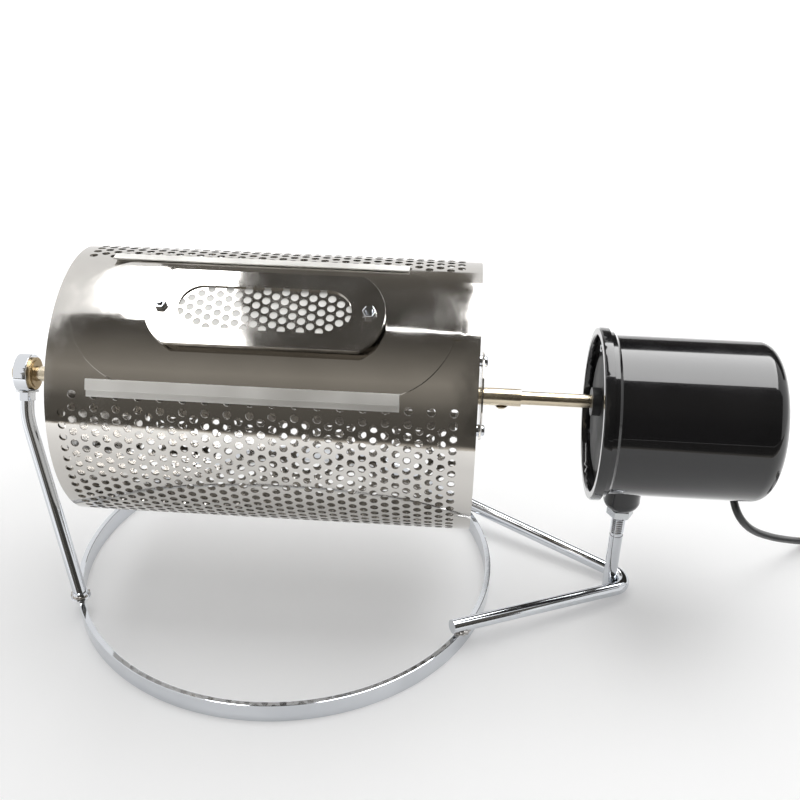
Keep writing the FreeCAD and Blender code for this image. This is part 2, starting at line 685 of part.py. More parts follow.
def left_foot():
    """Where the left upright meets the top of the ring."""
    reach = RING_RADIUS - RING_BAR / 2
    turn = math.radians(LEFT_FOOT_ANGLE)
    return Vector(RING_CENTRE_X - reach * math.cos(turn), -reach * math.sin(turn), RING_HEIGHT)


def left_upright():
    """Rod from the bearing holder down to the ring, with the stud at its top."""
    foot = left_foot()
    bend = along_stud(ROD_REACH + LEFT_ROD_STRAIGHT)
    fall = (foot - bend).normalize()
    radius = LEFT_ROD_BEND_RUN / math.tan(math.acos(fall.dot(STUD_AXIS)) / 2)
    wire = rounded_path([along_stud(ROD_REACH), bend, foot + fall * ROD_RADIUS * 2], [radius])
    rod = rod_along(wire, ROD_RADIUS)
    stud = Part.makeCylinder(LEFT_STUD_RADIUS, ROD_REACH - WASHER_REACH, along_stud(WASHER_REACH), STUD_AXIS)
    bead = Part.makeCone(ROD_RADIUS + WELD_BEAD, ROD_RADIUS, WELD_BEAD * 2, foot + Vector(0, 0, WELD_GAP))
    side = 16 * ROD_RADIUS
    floor = Part.makeBox(side, side, RING_HEIGHT + WELD_GAP, Vector(foot.x - side / 2, foot.y - side / 2, 0))
    return joined([rod, stud, bead]).cut(floor)


def base_ring():
    """Flat bar rolled on edge into a ring, which is the foot of the stand."""
    centre = Vector(RING_CENTRE_X, 0, 0)
    outer = Part.makeCylinder(RING_RADIUS, RING_HEIGHT, centre)
    inner = Part.makeCylinder(RING_RADIUS - RING_BAR, RING_HEIGHT, centre)
    return outer.cut(inner)


def v_brace():
    """Rod bent into a V, welded on top of the ring, with its apex on the floor under the motor."""
    apex_z = ROD_RADIUS
    apex_x = brace_corner_x()
    end_z = brace_end_height(apex_x, apex_z)
    wire = rounded_path([Vector(BRACE_END_X, -BRACE_END_Y, end_z), Vector(apex_x, 0, apex_z),
                         Vector(BRACE_END_X, BRACE_END_Y, end_z)], [BRACE_BEND])
    return rod_along(wire, ROD_RADIUS)


def brace_end_height(apex_x, apex_z):
    """Height of the V's ends at which its legs rest on the ring's outer edge."""
    run = Vector(apex_x - BRACE_END_X, -BRACE_END_Y, 0)
    ahead = run * (1 / run.Length)
    start = Vector(BRACE_END_X - RING_CENTRE_X, BRACE_END_Y, 0)
    along = start.dot(ahead)
    reach = math.sqrt(along ** 2 - start.dot(start) + RING_RADIUS ** 2) - along
    share = reach / run.Length
    rest_z = RING_HEIGHT + ROD_RADIUS + BRACE_SEAT_GAP
    return (rest_z - apex_z * share) / (1 - share)


def brace_corner_x():
    """Corner of the V's straight runs, beyond its bend, so that the bend ends at BRACE_APEX_X."""
    corner = BRACE_APEX_X + BRACE_BEND
    for _ in range(20):
        half = math.atan2(BRACE_END_Y, corner - BRACE_END_X)
        corner = BRACE_APEX_X + BRACE_BEND * (1 / math.sin(half) - 1)
    return corner


UPRIGHT_X = BRACE_APEX_X - 2 * ROD_RADIUS - WELD_GAP


def right_upright():
    """Straight rod from the V brace up into the motor's boss, threaded at its top."""
    base = Vector(UPRIGHT_X, 0, FLOOR_CLEARANCE)
    rod = Part.makeCylinder(ROD_RADIUS, THREAD_START_Z - FLOOR_CLEARANCE, base)
    height = CAN_UNDERSIDE - WELD_GAP - THREAD_START_Z
    thread = Part.makeCylinder(THREAD_RADIUS, height, Vector(UPRIGHT_X, 0, THREAD_START_Z))
    return joined([rod, thread])


def mount_nut():
    """Zinc nut that locks the upright under the motor's boss."""
    nut = hexagon_prism(MOUNT_NUT_FLATS, MOUNT_NUT_HEIGHT, Vector(UPRIGHT_X, 0, MOUNT_NUT_Z), Vector(0, 0, 1))
    return nut.cut(mount_hole())


def mount_hole():
    """Clearance hole round the upright's thread, from the floor into the can."""
    return Part.makeCylinder(THREAD_RADIUS + WELD_GAP, MOTOR_HEIGHT, Vector(UPRIGHT_X, 0, 0))


def mount_boss():
    """Domed boss between the nut and the can, hollowed to the can's curve."""
    low = MOUNT_NUT_Z + MOUNT_NUT_HEIGHT + WELD_GAP
    shoulder = low + MOUNT_BOSS_ROUND
    top = CAN_UNDERSIDE + MOUNT_BOSS_ROUND
    arc_turn = math.radians(45)
    swell = MOUNT_BOSS_RADIUS - MOUNT_BOSS_TIP_RADIUS
    tip = Vector(MOUNT_BOSS_TIP_RADIUS, 0, low)
    middle = Vector(MOUNT_BOSS_TIP_RADIUS + swell * math.sin(arc_turn), 0,
                    shoulder - MOUNT_BOSS_ROUND * math.cos(arc_turn))
    side = Vector(MOUNT_BOSS_RADIUS, 0, shoulder)
    rest = Part.makePolygon([side, Vector(MOUNT_BOSS_RADIUS, 0, top), Vector(0, 0, top),
                             Vector(0, 0, low), tip])
    profile = Part.Wire([Part.Arc(tip, middle, side).toShape()] + rest.Edges)
    boss = Part.Face(profile).revolve(Vector(0, 0, 0), Vector(0, 0, 1), 360)
    boss.translate(Vector(UPRIGHT_X, 0, 0))
    can = bar_x(CAN_RADIUS + WELD_GAP, MOTOR_FACE_X, MOTOR_END_X, 0, MOTOR_HEIGHT)
    return boss.cut(can).cut(mount_hole())


def revolved_on_motor(points):
    """Solid of revolution about the motor's own centre line, from (x, radius) corners or arcs."""
    edges = []
    previous = None
    for item in points:
        if previous is not None:
            if len(item) == 4:
                middle = Vector(item[0], 0, MOTOR_HEIGHT + item[1])
                end = Vector(item[2], 0, MOTOR_HEIGHT + item[3])
                edges.append(Part.Arc(previous, middle, end).toShape())
            else:
                end = Vector(item[0], 0, MOTOR_HEIGHT + item[1])
                edges.append(Part.LineSegment(previous, end).toShape())
            previous = end
        else:
            previous = Vector(item[0], 0, MOTOR_HEIGHT + item[1])
    face = Part.Face(Part.Wire(edges))
    return face.revolve(Vector(0, 0, MOTOR_HEIGHT), Vector(1, 0, 0), 360)


def motor_can():
    """Drawn can, open at the front, with a bead behind the rim and a rounded rear."""
    start = MOTOR_FACE_X + RIM_DEPTH + WELD_GAP
    inner = CAN_RADIUS - CAN_SHEET
    corner = CAN_REAR_ROUND
    inner_corner = corner - CAN_SHEET
    lean = math.sqrt(0.5)
    profile = [(start, inner),
               (start, BEAD_RADIUS),
               (start + BEAD_WIDTH, BEAD_RADIUS),
               (start + BEAD_WIDTH + BEAD_RADIUS - CAN_RADIUS, CAN_RADIUS),
               (MOTOR_END_X - corner, CAN_RADIUS),
               (MOTOR_END_X - corner * (1 - lean), CAN_RADIUS - corner * (1 - lean),
                MOTOR_END_X, CAN_RADIUS - corner),
               (MOTOR_END_X, 0),
               (MOTOR_END_X - CAN_SHEET, 0),
               (MOTOR_END_X - CAN_SHEET, inner - inner_corner),
               (MOTOR_END_X - CAN_SHEET - inner_corner * (1 - lean), inner - inner_corner * (1 - lean),
                MOTOR_END_X - CAN_SHEET - inner_corner, inner),
               (start, inner)]
    can = revolved_on_motor(profile)
    return can.cut(cord_exit_bar(CORD_RADIUS + WELD_GAP))


def motor_rim():
    """Turned ring that closes the can's front edge."""
    profile = [(MOTOR_FACE_X + RIM_EDGE, RIM_INNER_RADIUS),
               (MOTOR_FACE_X, RIM_INNER_RADIUS + RIM_EDGE),
               (MOTOR_FACE_X, RIM_RADIUS - RIM_EDGE),
               (MOTOR_FACE_X + RIM_EDGE, RIM_RADIUS),
               (MOTOR_FACE_X + RIM_DEPTH, RIM_RADIUS),
               (MOTOR_FACE_X + RIM_DEPTH, RIM_INNER_RADIUS),
               (MOTOR_FACE_X + RIM_EDGE, RIM_INNER_RADIUS)]
    return revolved_on_motor(profile)


def plate_screw_places():
    """Height and depth of the front plate's screws, from the motor's own centre line."""
    places = []
    for i in range(4):
        angle = math.radians(45 + 90 * i)
        places.append((PLATE_SCREW_REACH * math.cos(angle),
                       MOTOR_HEIGHT + PLATE_SCREW_REACH * math.sin(angle)))
    return places


def motor_plate():
    """Recessed front plate that carries the gear motor."""
    outer = CAN_RADIUS - CAN_SHEET - SEAT_GAP
    plate = tube_x(outer, GEARBOX_RADIUS + SEAT_GAP, PLATE_X, PLATE_X + PLATE_SHEET, 0, MOTOR_HEIGHT)
    holes = []
    for y, z in plate_screw_places():
        holes.append(bar_x(HUB_SCREW_RADIUS + SEAT_GAP, PLATE_X - CUT_MARGIN,
                           PLATE_X + PLATE_SHEET + CUT_MARGIN, y, z))
    return plate.cut(holes)


def plate_screws():
    """Four pan-head screws in the front plate."""
    screws = []
    for y, z in plate_screw_places():
        head_x = PLATE_X - WELD_GAP
        shank = bar_x(HUB_SCREW_RADIUS, head_x, head_x + PLATE_SCREW_LENGTH, y, z)
        head = bar_x(PLATE_SCREW_HEAD, head_x - PLATE_SCREW_HEIGHT, head_x, y, z)
        round_radius = PLATE_SCREW_HEAD * 1.25
        dome = Part.makeSphere(round_radius, Vector(head_x - PLATE_SCREW_HEIGHT + round_radius, y, z))
        screws.append(joined([shank, head.common(dome)]))
    return Part.makeCompound(screws)


def gear_motor():
    """Geared synchronous motor: a closed round unit with the shaft's bore off its centre."""
    unit = bar_x(GEARBOX_RADIUS, GEARBOX_X, GEARBOX_X + GEARBOX_LENGTH, 0, MOTOR_HEIGHT)
    bore = bar_x(SHAFT_RADIUS + RUNNING_GAP, BOSS_X, PLATE_X + SHAFT_DEPTH_IN_MOTOR + RUNNING_GAP)
    return unit.cut(bore)


def shaft_boss():
    """Pale bush that the shaft turns in, on the gear motor's face."""
    return tube_x(BOSS_RADIUS, SHAFT_RADIUS + RUNNING_GAP, BOSS_X, GEARBOX_X - WELD_GAP)


def cord_exit_frame():
    """Point on the can and the outward direction where the cord leaves it."""
    turn = math.radians(CORD_EXIT_ANGLE)
    out = Vector(0, math.sin(turn), -math.cos(turn))
    return Vector(CORD_EXIT_X, 0, MOTOR_HEIGHT) + out * CAN_RADIUS, out


def cord_exit_bar(radius):
    """Round bar through the can's wall along the cord."""
    point, out = cord_exit_frame()
    return Part.makeCylinder(radius, CAN_SHEET * 4, point - out * CAN_SHEET * 2, out)


def cord_grommet():
    """Tapered strain relief under the can."""
    point, out = cord_exit_frame()
    body = Part.makeCone(GROMMET_RADIUS, GROMMET_TIP_RADIUS, GROMMET_LENGTH + GROMMET_LIFT,
                         point - out * GROMMET_LIFT, out)
    body = body.cut(bar_x(CAN_RADIUS + WELD_GAP, MOTOR_FACE_X, MOTOR_END_X, 0, MOTOR_HEIGHT))
    start = point - out * 2 * GROMMET_LENGTH
    return body.cut(Part.makeCylinder(CORD_RADIUS + WELD_GAP, 4 * GROMMET_LENGTH, start, out))


def coil_point(angle):
    """Point of the coil's centre line after a turn of so many radians from its start."""
    whole = COIL_QUARTER_TURNS * math.pi / 2
    middle = math.floor(COIL_QUARTER_TURNS / 2) * math.pi / 2
    swing = COIL_PITCH * middle / (2 * math.pi)
    outer = COIL_MEAN_RADIUS + swing / 2
    radius = outer - COIL_PITCH * (middle - abs(angle - middle)) / (2 * math.pi)
    climb = min(max((angle - middle + math.pi / 2) / math.pi, 0.0), 1.0)
    height = CORD_FLOOR_Z + COIL_PITCH * (1 - math.cos(math.pi * climb)) / 2
    turn = math.pi / 2 - min(angle, whole)
    return Vector(COIL_CENTRE_X + radius * math.cos(turn), COIL_CENTRE_Y + radius * math.sin(turn), height)


def coil_tangent(angle):
    """Direction of the coil's centre line, level except on its climb."""
    step = 0.01
    ahead = coil_point(angle + step)
    behind = coil_point(angle - step)
    return (ahead - behind).normalize()


def biarc(start, start_dir, end, end_dir):
    """Two arcs that leave one point and reach another along given directions."""
    chord = end - start
    both = start_dir + end_dir
    a = 2 * (1 - start_dir.dot(end_dir))
    b = 2 * chord.dot(both)
    c = -chord.dot(chord)
    reach = (-b + math.sqrt(b * b - 4 * a * c)) / (2 * a)
    first = start + start_dir * reach
    last = end - end_dir * reach
    joint = (first + last) * 0.5
    return [corner_arc(start, first, joint), corner_arc(joint, last, end)]


def corner_arc(start, corner, end):
    """Arc tangent to the two equal legs of a corner."""
    middle = (start + end) * 0.5
    half = (end - start).Length / 2
    rise = (corner - middle).Length
    sag = half * math.tan(math.atan2(rise, half) / 2)
    return Part.Arc(start, middle + (corner - middle).normalize() * sag, end).toShape()


def coil_wire():
    """Unbroken centre line of the coil: straight, two layers of loops, straight."""
    quarter = math.pi / 2
    angles = [i * quarter for i in range(COIL_QUARTER_TURNS + 1)]
    tangents = [coil_tangent(angle) for angle in angles]
    tangents[0] = (coil_point(0.01) - coil_point(0)).normalize()
    last = angles[-1]
    tangents[-1] = (coil_point(last) - coil_point(last - 0.01)).normalize()
    edges = [Part.LineSegment(coil_point(0) - tangents[0] * COIL_STRAIGHT, coil_point(0)).toShape()]
    for i in range(COIL_QUARTER_TURNS):
        edges += biarc(coil_point(angles[i]), tangents[i], coil_point(angles[i + 1]), tangents[i + 1])
    end = coil_point(last)
    edges.append(Part.LineSegment(end, end + tangents[-1] * COIL_TAIL).toShape())
    return Part.Wire(edges), tangents[0], tangents[-1]


def least_gap(wire):
    """Least clear space between turns, measured on points along the centre line."""
    count = int(wire.Length / CORD_RADIUS)
    points = wire.discretize(count)
    skip = int(6 * CORD_RADIUS / (wire.Length / count)) + 1
    least = min((points[i] - points[j]).Length for i in range(count) for j in range(i + skip, count))
    return least - 2 * CORD_RADIUS


def cord_points(coil_start, coil_dir):
    """Route of the free cord: out of the can, down to the floor and on to the coil."""
    exit_point, out = cord_exit_frame()
    points = [exit_point - out * CAN_SHEET, exit_point + out * CORD_DROP]
    for past, y, share in zip(CORD_ROUTE_X, CORD_ROUTE_Y, CORD_ROUTE_SHARE):
        height = CORD_FLOOR_Z + share * (CAN_UNDERSIDE - CORD_FLOOR_Z)
        points.append(Vector(CORD_EXIT_X + past, y, height))
    return points + [coil_start - coil_dir * CORD_LEAD_IN, coil_start]


def free_cord(coil_start, coil_dir):
    """Tube of the free cord, with its least radius and its volume printed."""
    points = cord_points(coil_start, coil_dir)
    radii = []
    for i in range(1, len(points) - 1):
        run_in = points[i] - points[i - 1]
        run_out = points[i + 1] - points[i]
        turn = run_in.getAngle(run_out)
        radii.append(CORD_BEND_SHARE * min(run_in.Length, run_out.Length) / math.tan(turn / 2))
    wire = rounded_path(points, radii)
    cord = rod_along(wire, CORD_RADIUS)
    print("cord radii", [round(r, 1) for r in radii], "least allowed", 10 * CORD_RADIUS)
    print("cord length", round(wire.Length, 1), "volume ratio",
          round(cord.Volume / (math.pi * CORD_RADIUS ** 2 * wire.Length), 4))
    return cord


def plug(coil_end, coil_dir):
    """Two-pin plug in line with the coil's end, and its flat blades."""
    place = Placement(coil_end, Rotation(Vector(1, 0, 0), coil_dir))
    neck = Part.makeCone(PLUG_NECK_TIP_RADIUS, PLUG_NECK_RADIUS, PLUG_NECK_LENGTH,
                         Vector(0, 0, 0), Vector(1, 0, 0))
    low = CORD_FLOOR_Z - CORD_RADIUS - coil_end.z
    block = Part.makeBox(PLUG_LENGTH, PLUG_WIDTH, PLUG_HEIGHT,
                         Vector(PLUG_NECK_LENGTH, -PLUG_WIDTH / 2, low))
    long_edges = [edge for edge in block.Edges if abs(edge.BoundBox.XLength - PLUG_LENGTH) < 1e-6]
    block = block.makeFillet(PLUG_ROUND, long_edges)
    body = joined([neck, block])
    front = PLUG_NECK_LENGTH + PLUG_LENGTH
    blades = []
    for side in (-1, 1):
        y = side * BLADE_SPACING / 2 - BLADE_SHEET / 2
        blades.append(Part.makeBox(BLADE_LENGTH, BLADE_SHEET, BLADE_WIDTH,
                                   Vector(front, y, low + (PLUG_HEIGHT - BLADE_WIDTH) / 2)))
    pins = Part.makeCompound(blades)
    body.Placement = place.multiply(body.Placement)
    pins.Placement = place.multiply(pins.Placement)
    return body, pins


save("base_ring", base_ring())
save("v_brace", v_brace())
save("left_upright", left_upright())
save("right_upright", right_upright())
save("bearing_holder", bearing_holder())
save("bearing_bush", bearing_bush())
save("bearing_washer", bearing_washer())
save("bearing_nut", bearing_nut())
save("mount_nut", mount_nut())
save("mount_boss", mount_boss())

save("motor_can", motor_can())
save("motor_rim", motor_rim())
save("motor_plate", motor_plate())
save("plate_screws", plate_screws())
save("gear_motor", gear_motor())
save("shaft_boss", shaft_boss())

save("drum_sheet", drum_sheet())
save("left_end_cap", end_cap(-1))
save("right_end_cap", end_cap(1))
save("mixing_vanes", mixing_vanes())
save("lower_rail", rail(-1))
save("upper_rail", rail(1))
right_hub = hub_plate().cut(bar_x(SOCKET_RADIUS + WELD_GAP, 0, MOTOR_FACE_X))
left_hub = mirrored(hub_plate().cut(bar_x(AXLE_RADIUS + WELD_GAP, 0, MOTOR_FACE_X)))
save("right_hub_plate", right_hub)
save("left_hub_plate", left_hub)
save("right_hub_screws", hub_screws())
save("left_hub_screws", mirrored(hub_screws()))
save("shaft_socket", shaft_socket())
save("set_screw", set_screw())
save("drive_shaft", drive_shaft())
save("left_axle", left_axle())
save("axle_clip", axle_clip())

save("door_panel", door_panel().cut(bar_x(DOOR_INNER, -DRUM_LENGTH, DRUM_LENGTH)))
save("grip_frame", grip_frame())
save("grip_mesh", grip_mesh())
save("grip_pad", grip_pad())
save("grip_spacers", grip_spacers())
save("grip_studs", grip_studs().cut(bar_x(DOOR_INNER, -DRUM_LENGTH, DRUM_LENGTH)))
save("grip_nuts", grip_nuts())

line, first_dir, last_dir = coil_wire()
coil = rod_along(line, CORD_RADIUS)
coil_start = line.OrderedVertexes[0].Point
coil_end = line.OrderedVertexes[-1].Point
print("coil length", round(line.Length, 1), "least gap", round(least_gap(line), 2))
plug_body, plug_pins = plug(coil_end, last_dir)
save("cord", free_cord(coil_start, first_dir))
save("cord_coil", coil)
save("cord_grommet", cord_grommet())
save("plug_body", plug_body)
save("plug_pins", plug_pins)
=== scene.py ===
# %% [markdown]
# # Home coffee bean roaster
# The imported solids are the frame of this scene: every node already sits where it belongs,
# in metres, with the floor at Z 0 and the drum along X. The lesson keeps the nodes whose
# shape is right, gives them finished materials, and replaces the ones whose real form is
# too fine for a solid model: the perforated wall of the drum, the perforated plate of the
# grip, the screws, the soft pad and the cord.

# %% Load the frame
import math
import bpy
from mathutils import Matrix, Vector


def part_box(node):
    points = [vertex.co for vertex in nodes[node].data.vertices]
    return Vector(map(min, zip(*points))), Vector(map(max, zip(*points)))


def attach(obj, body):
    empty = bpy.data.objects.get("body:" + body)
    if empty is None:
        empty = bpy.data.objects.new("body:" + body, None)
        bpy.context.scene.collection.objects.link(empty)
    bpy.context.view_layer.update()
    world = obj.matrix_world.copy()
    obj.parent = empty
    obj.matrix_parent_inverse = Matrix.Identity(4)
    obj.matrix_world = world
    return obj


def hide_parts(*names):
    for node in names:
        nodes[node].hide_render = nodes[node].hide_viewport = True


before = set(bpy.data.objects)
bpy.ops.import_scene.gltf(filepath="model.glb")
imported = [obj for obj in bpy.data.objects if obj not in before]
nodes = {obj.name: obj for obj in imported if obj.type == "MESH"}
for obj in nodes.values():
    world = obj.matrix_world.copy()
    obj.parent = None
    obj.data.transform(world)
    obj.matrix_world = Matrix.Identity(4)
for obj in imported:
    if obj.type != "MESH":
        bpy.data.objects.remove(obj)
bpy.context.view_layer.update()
bpy.ops.object.select_all(action="DESELECT")

# %% [markdown]
# ## Places taken from the frame
# The drum's axis, radius and middle are read from the frame, so that the scene's pieces
# follow the solids. Angles round the drum are counted from the front horizontal, up and
# over the top, and the door is drawn in a flat frame of its own whose Z is the distance
# from the drum's axis.

# %% Places
sheet_low, sheet_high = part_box("drum_sheet")
DRUM = (Vector(sheet_low) + Vector(sheet_high)) / 2
RADIUS = (sheet_high[2] - sheet_low[2]) / 2
HALF = (sheet_high[0] - sheet_low[0]) / 2
SHEET = 0.0008
DOOR_ANGLE = 34
DOOR = Matrix.Translation((DRUM.x, 0, DRUM.z)) @ Matrix.Rotation(math.radians(DOOR_ANGLE), 4, "X")
GRIP_TOP = RADIUS + 0.0076
MOTOR_Z = DRUM.z - 0.0069


def on_drum(x, angle, radius):
    """Point x from the drum's middle, at an angle up from the front and a radius."""
    turn = math.radians(angle)
    return Vector((DRUM.x + x, -radius * math.cos(turn), DRUM.z + radius * math.sin(turn)))


print("drum middle", [round(v, 5) for v in DRUM], "radius", round(RADIUS, 4), "half", round(HALF, 3))

# %% [markdown]
# ## Camera
# Four edges of the ring, the drum's two ends and the motor's rim were matched to their
# places in the picture, which gave the camera's place, its three angles and its lens.
# The view looks down by 30 degrees from half a metre, so the near rim of the drum is
# clearly larger than the far one, and a longer lens further off would not match it.

# %% Camera
yaw, pitch, roll = math.radians(-3.63), math.radians(29.59), math.radians(1.11)
ahead = Vector((math.sin(yaw) * math.cos(pitch), math.cos(yaw) * math.cos(pitch), -math.sin(pitch)))
level = Vector((math.cos(yaw), -math.sin(yaw), 0))
over = level.cross(ahead)
right = level * math.cos(roll) + over * math.sin(roll)
up = over * math.cos(roll) - level * math.sin(roll)
camera_data = bpy.data.cameras.new("camera")
camera_data.lens = 45.284
camera_data.sensor_width = 36
camera = bpy.data.objects.new("camera", camera_data)
bpy.context.collection.objects.link(camera)
camera.matrix_world = Matrix.Translation((0.0368, -0.45709, 0.37594)) @ Matrix(
    (right, up, -ahead)).transposed().to_4x4()
bpy.context.scene.camera = camera
print("camera at", [round(v, 3) for v in camera.location], "lens", camera_data.lens)

# %% [markdown]
# ## Cord
# The lead leaves the can at its underside, drops a little towards the front, and then swings
# in one wide arc to the right and the back, down to the worktop at the picture's edge. What
# the picture doesn't show is put away as a flat coil of six turns in two layers, with a
# two-pin plug on its end. One NURBS spline carries the free run and the turns, so there is
# no joint between them. Its control points are the corners of the run and sixteen points
# for each turn, pushed out a little because such a spline runs inside its control points.

# %% Cord
CORD_RADIUS = 0.0021
CORD_FLOOR_Z = 0.0022
CAN_RADIUS = 0.0414
EXIT_LEAN = math.radians(4)
RUN = ((0.2437, -0.0053, 0.0585), (0.2556, 0.0038, 0.0425), (0.2722, 0.0168, 0.029),
       (0.2904, 0.0347, 0.0145), (0.3071, 0.0506, 0.0024), (0.314, 0.055, 0.0022))
COIL_PITCH = 0.0048
COIL_RADIUS = 0.0245
COIL_TURNS = 6.25
TURN_POINTS = 16
coil_centre = Vector((DRUM.x + 0.338, 0.024, 0))


def coil_point(angle):
    """Point of the coil's centre line after so many radians: inwards, a climb, then outwards."""
    middle = 6 * math.pi
    outer = COIL_RADIUS + COIL_PITCH * middle / (4 * math.pi)
    radius = outer - COIL_PITCH * (middle - abs(angle - middle)) / (2 * math.pi)
    climb = min(max((angle - middle + math.pi / 2) / math.pi, 0), 1)
    height = CORD_FLOOR_Z + COIL_PITCH * (1 - math.cos(math.pi * climb)) / 2
    turn = math.pi / 2 - angle
    return coil_centre + Vector((radius * math.cos(turn), radius * math.sin(turn), height))


out = Vector((0, math.sin(EXIT_LEAN), -math.cos(EXIT_LEAN)))
cord_exit = Vector((DRUM.x + 0.241, 0, MOTOR_Z)) + out * CAN_RADIUS
coil_way = (coil_point(0.01) - coil_point(0)).normalized()
coil_start = coil_point(0) - coil_way * 0.0044
route = [cord_exit - out * 0.0012, cord_exit + out * 0.005]
for x, y, z in RUN:
    route.append(Vector((DRUM.x + x, y, z)))
route += [coil_start - coil_way * 0.008, coil_start]
whole = COIL_TURNS * 2 * math.pi
steps = int(COIL_TURNS * TURN_POINTS)
for i in range(steps + 1):
    point = coil_point(whole * i / steps)
    grown = (point - coil_centre) / math.cos(math.pi / TURN_POINTS)
    route.append(Vector((coil_centre.x + grown.x, coil_centre.y + grown.y, point.z)))
end_way = (coil_point(whole) - coil_point(whole - 0.01)).normalized()
route.append(coil_point(whole) + end_way * 0.005)
route.append(coil_point(whole) + end_way * 0.010)

cord_data = bpy.data.curves.new("power_cord", "CURVE")
cord_data.dimensions = "3D"
cord_data.bevel_depth = CORD_RADIUS
cord_data.bevel_resolution = 5
cord_data.use_fill_caps = True
spline = cord_data.splines.new("NURBS")
spline.points.add(len(route) - 1)
for point, place in zip(spline.points, route):
    point.co = (*place, 1)
spline.order_u = 3
spline.use_endpoint_u = True
spline.resolution_u = 6
cord = bpy.data.objects.new("power_cord", cord_data)
bpy.context.collection.objects.link(cord)

# %% [markdown]
# ## Working with meshes
# Each piece is made at its own place with the object at the origin. These short helpers
# keep one piece selected while a tool works on it, apply its modifiers, and shade it
# smooth up to an angle, so that a turned face is smooth and its edges stay crisp.

# %% Helpers


def only(piece):
    """Select one piece and make it active."""
    bpy.ops.object.select_all(action="DESELECT")
    piece.select_set(True)
    bpy.context.view_layer.objects.active = piece


def added(name):
    """Name the piece that a tool has just added, and move its place into its mesh."""
    piece = bpy.context.object
    piece.name = name
    piece.data.name = name
    bpy.ops.object.transform_apply(location=True, rotation=True, scale=True)
    return piece


def modified(piece, kind, **settings):
    """Add a modifier, set it and apply it."""
    only(piece)
    modifier = piece.modifiers.new(kind, kind)
    for key, value in settings.items():
        setattr(modifier, key, value)
    bpy.ops.object.modifier_apply(modifier=modifier.name)


def smooth(piece, degrees):
    """Shade a piece smooth where its faces meet at less than an angle."""
    only(piece)
    bpy.ops.object.shade_smooth_by_angle(angle=math.radians(degrees))


def outward(piece):
    """Turn the faces of a closed piece outwards."""
    only(piece)
    bpy.ops.object.mode_set(mode="EDIT")
    bpy.ops.mesh.select_all(action="SELECT")
    bpy.ops.mesh.normals_make_consistent(inside=False)
    bpy.ops.object.mode_set(mode="OBJECT")


def from_faces(name, places, faces):
    """New piece from points and faces."""
    mesh = bpy.data.meshes.new(name)
    mesh.from_pydata([tuple(place) for place in places], [], faces)
    piece = bpy.data.objects.new(name, mesh)
    bpy.context.collection.objects.link(piece)
    return piece


def joined(name, pieces):
    """Join pieces into one."""
    only(pieces[0])
    for piece in pieces:
        piece.select_set(True)
    bpy.ops.object.join()
    pieces[0].name = name
    pieces[0].data.name = name
    return pieces[0]


def cut(piece, cutter):
    """Take a closed cutter out of a piece, and drop the cutter."""
    modified(piece, "BOOLEAN", operation="DIFFERENCE", solver="EXACT", object=cutter)
    bpy.data.objects.remove(cutter)


def triangles(piece):
    """Number of triangles in a piece's faces."""
    return sum(len(face.vertices) - 2 for face in piece.data.polygons)


# %% [markdown]
# ## Perforated wall
# The drum is one rolled sheet, punched with 4 mm holes in staggered columns, seventy-two to
# a turn. A boolean with two thousand cutters would be slow and leave slivers. Instead each
# hole is a small cell: six points on its border, fourteen round the hole, six faces
# between. The border points fall halfway along the neighbour's side, so staggered cells
# share them. The cells are laid straight onto the cylinder, and one Solidify gives the
# sheet its thickness. Under the door the sheet is plain, so that part is a grid.

# %% Perforated wall
COLUMN = 0.005196
COLUMNS = 36
FIRST_COLUMN = -0.0922
LEVEL = 2.5
LEVELS = 144
BASE_ANGLE = 14.4
HOLE_RADIUS = 0.002
HOLE_POINTS = 14
FIRST_POINT = 231.43
PLAIN_FOOT, PLAIN_TOP = 4, 29
edge_x = [-HALF] + [FIRST_COLUMN + COLUMN * (i - 0.5) for i in range(COLUMNS + 1)] + [HALF]
places, faces, known = [], [], {}


def shared(column_edge, lev):
    """Index of the point where a column's edge crosses a level."""
    key = (column_edge, lev)
    if key not in known:
        known[key] = len(places)
        places.append(on_drum(edge_x[column_edge], BASE_ANGLE + LEVEL * lev, RADIUS))
    return known[key]


def plain(column, low, high):
    """Unpunched face of a column between two levels."""
    return [shared(column, low), shared(column + 1, low), shared(column + 1, high), shared(column, high)]


def punched(column, lev):
    """Six faces of a cell round its hole."""
    low, high = lev - 1, lev + 1
    border = [shared(column, low), shared(column + 1, low), shared(column + 1, lev),
              shared(column + 1, high), shared(column, high), shared(column, lev)]
    middle = (edge_x[column] + edge_x[column + 1]) / 2
    first = len(places)
    for i in range(HOLE_POINTS):
        turn = math.radians(FIRST_POINT + 360 / HOLE_POINTS * i)
        lift = math.degrees(HOLE_RADIUS * math.sin(turn) / RADIUS)
        angle = BASE_ANGLE + LEVEL * lev + lift
        places.append(on_drum(middle + HOLE_RADIUS * math.cos(turn), angle, RADIUS))
    marks = (0, 3, 5, 7, 10, 12, 14)
    for i in range(6):
        rim = [first + j % HOLE_POINTS for j in range(marks[i + 1], marks[i] - 1, -1)]
        faces.append([border[i], border[(i + 1) % 6]] + rim)


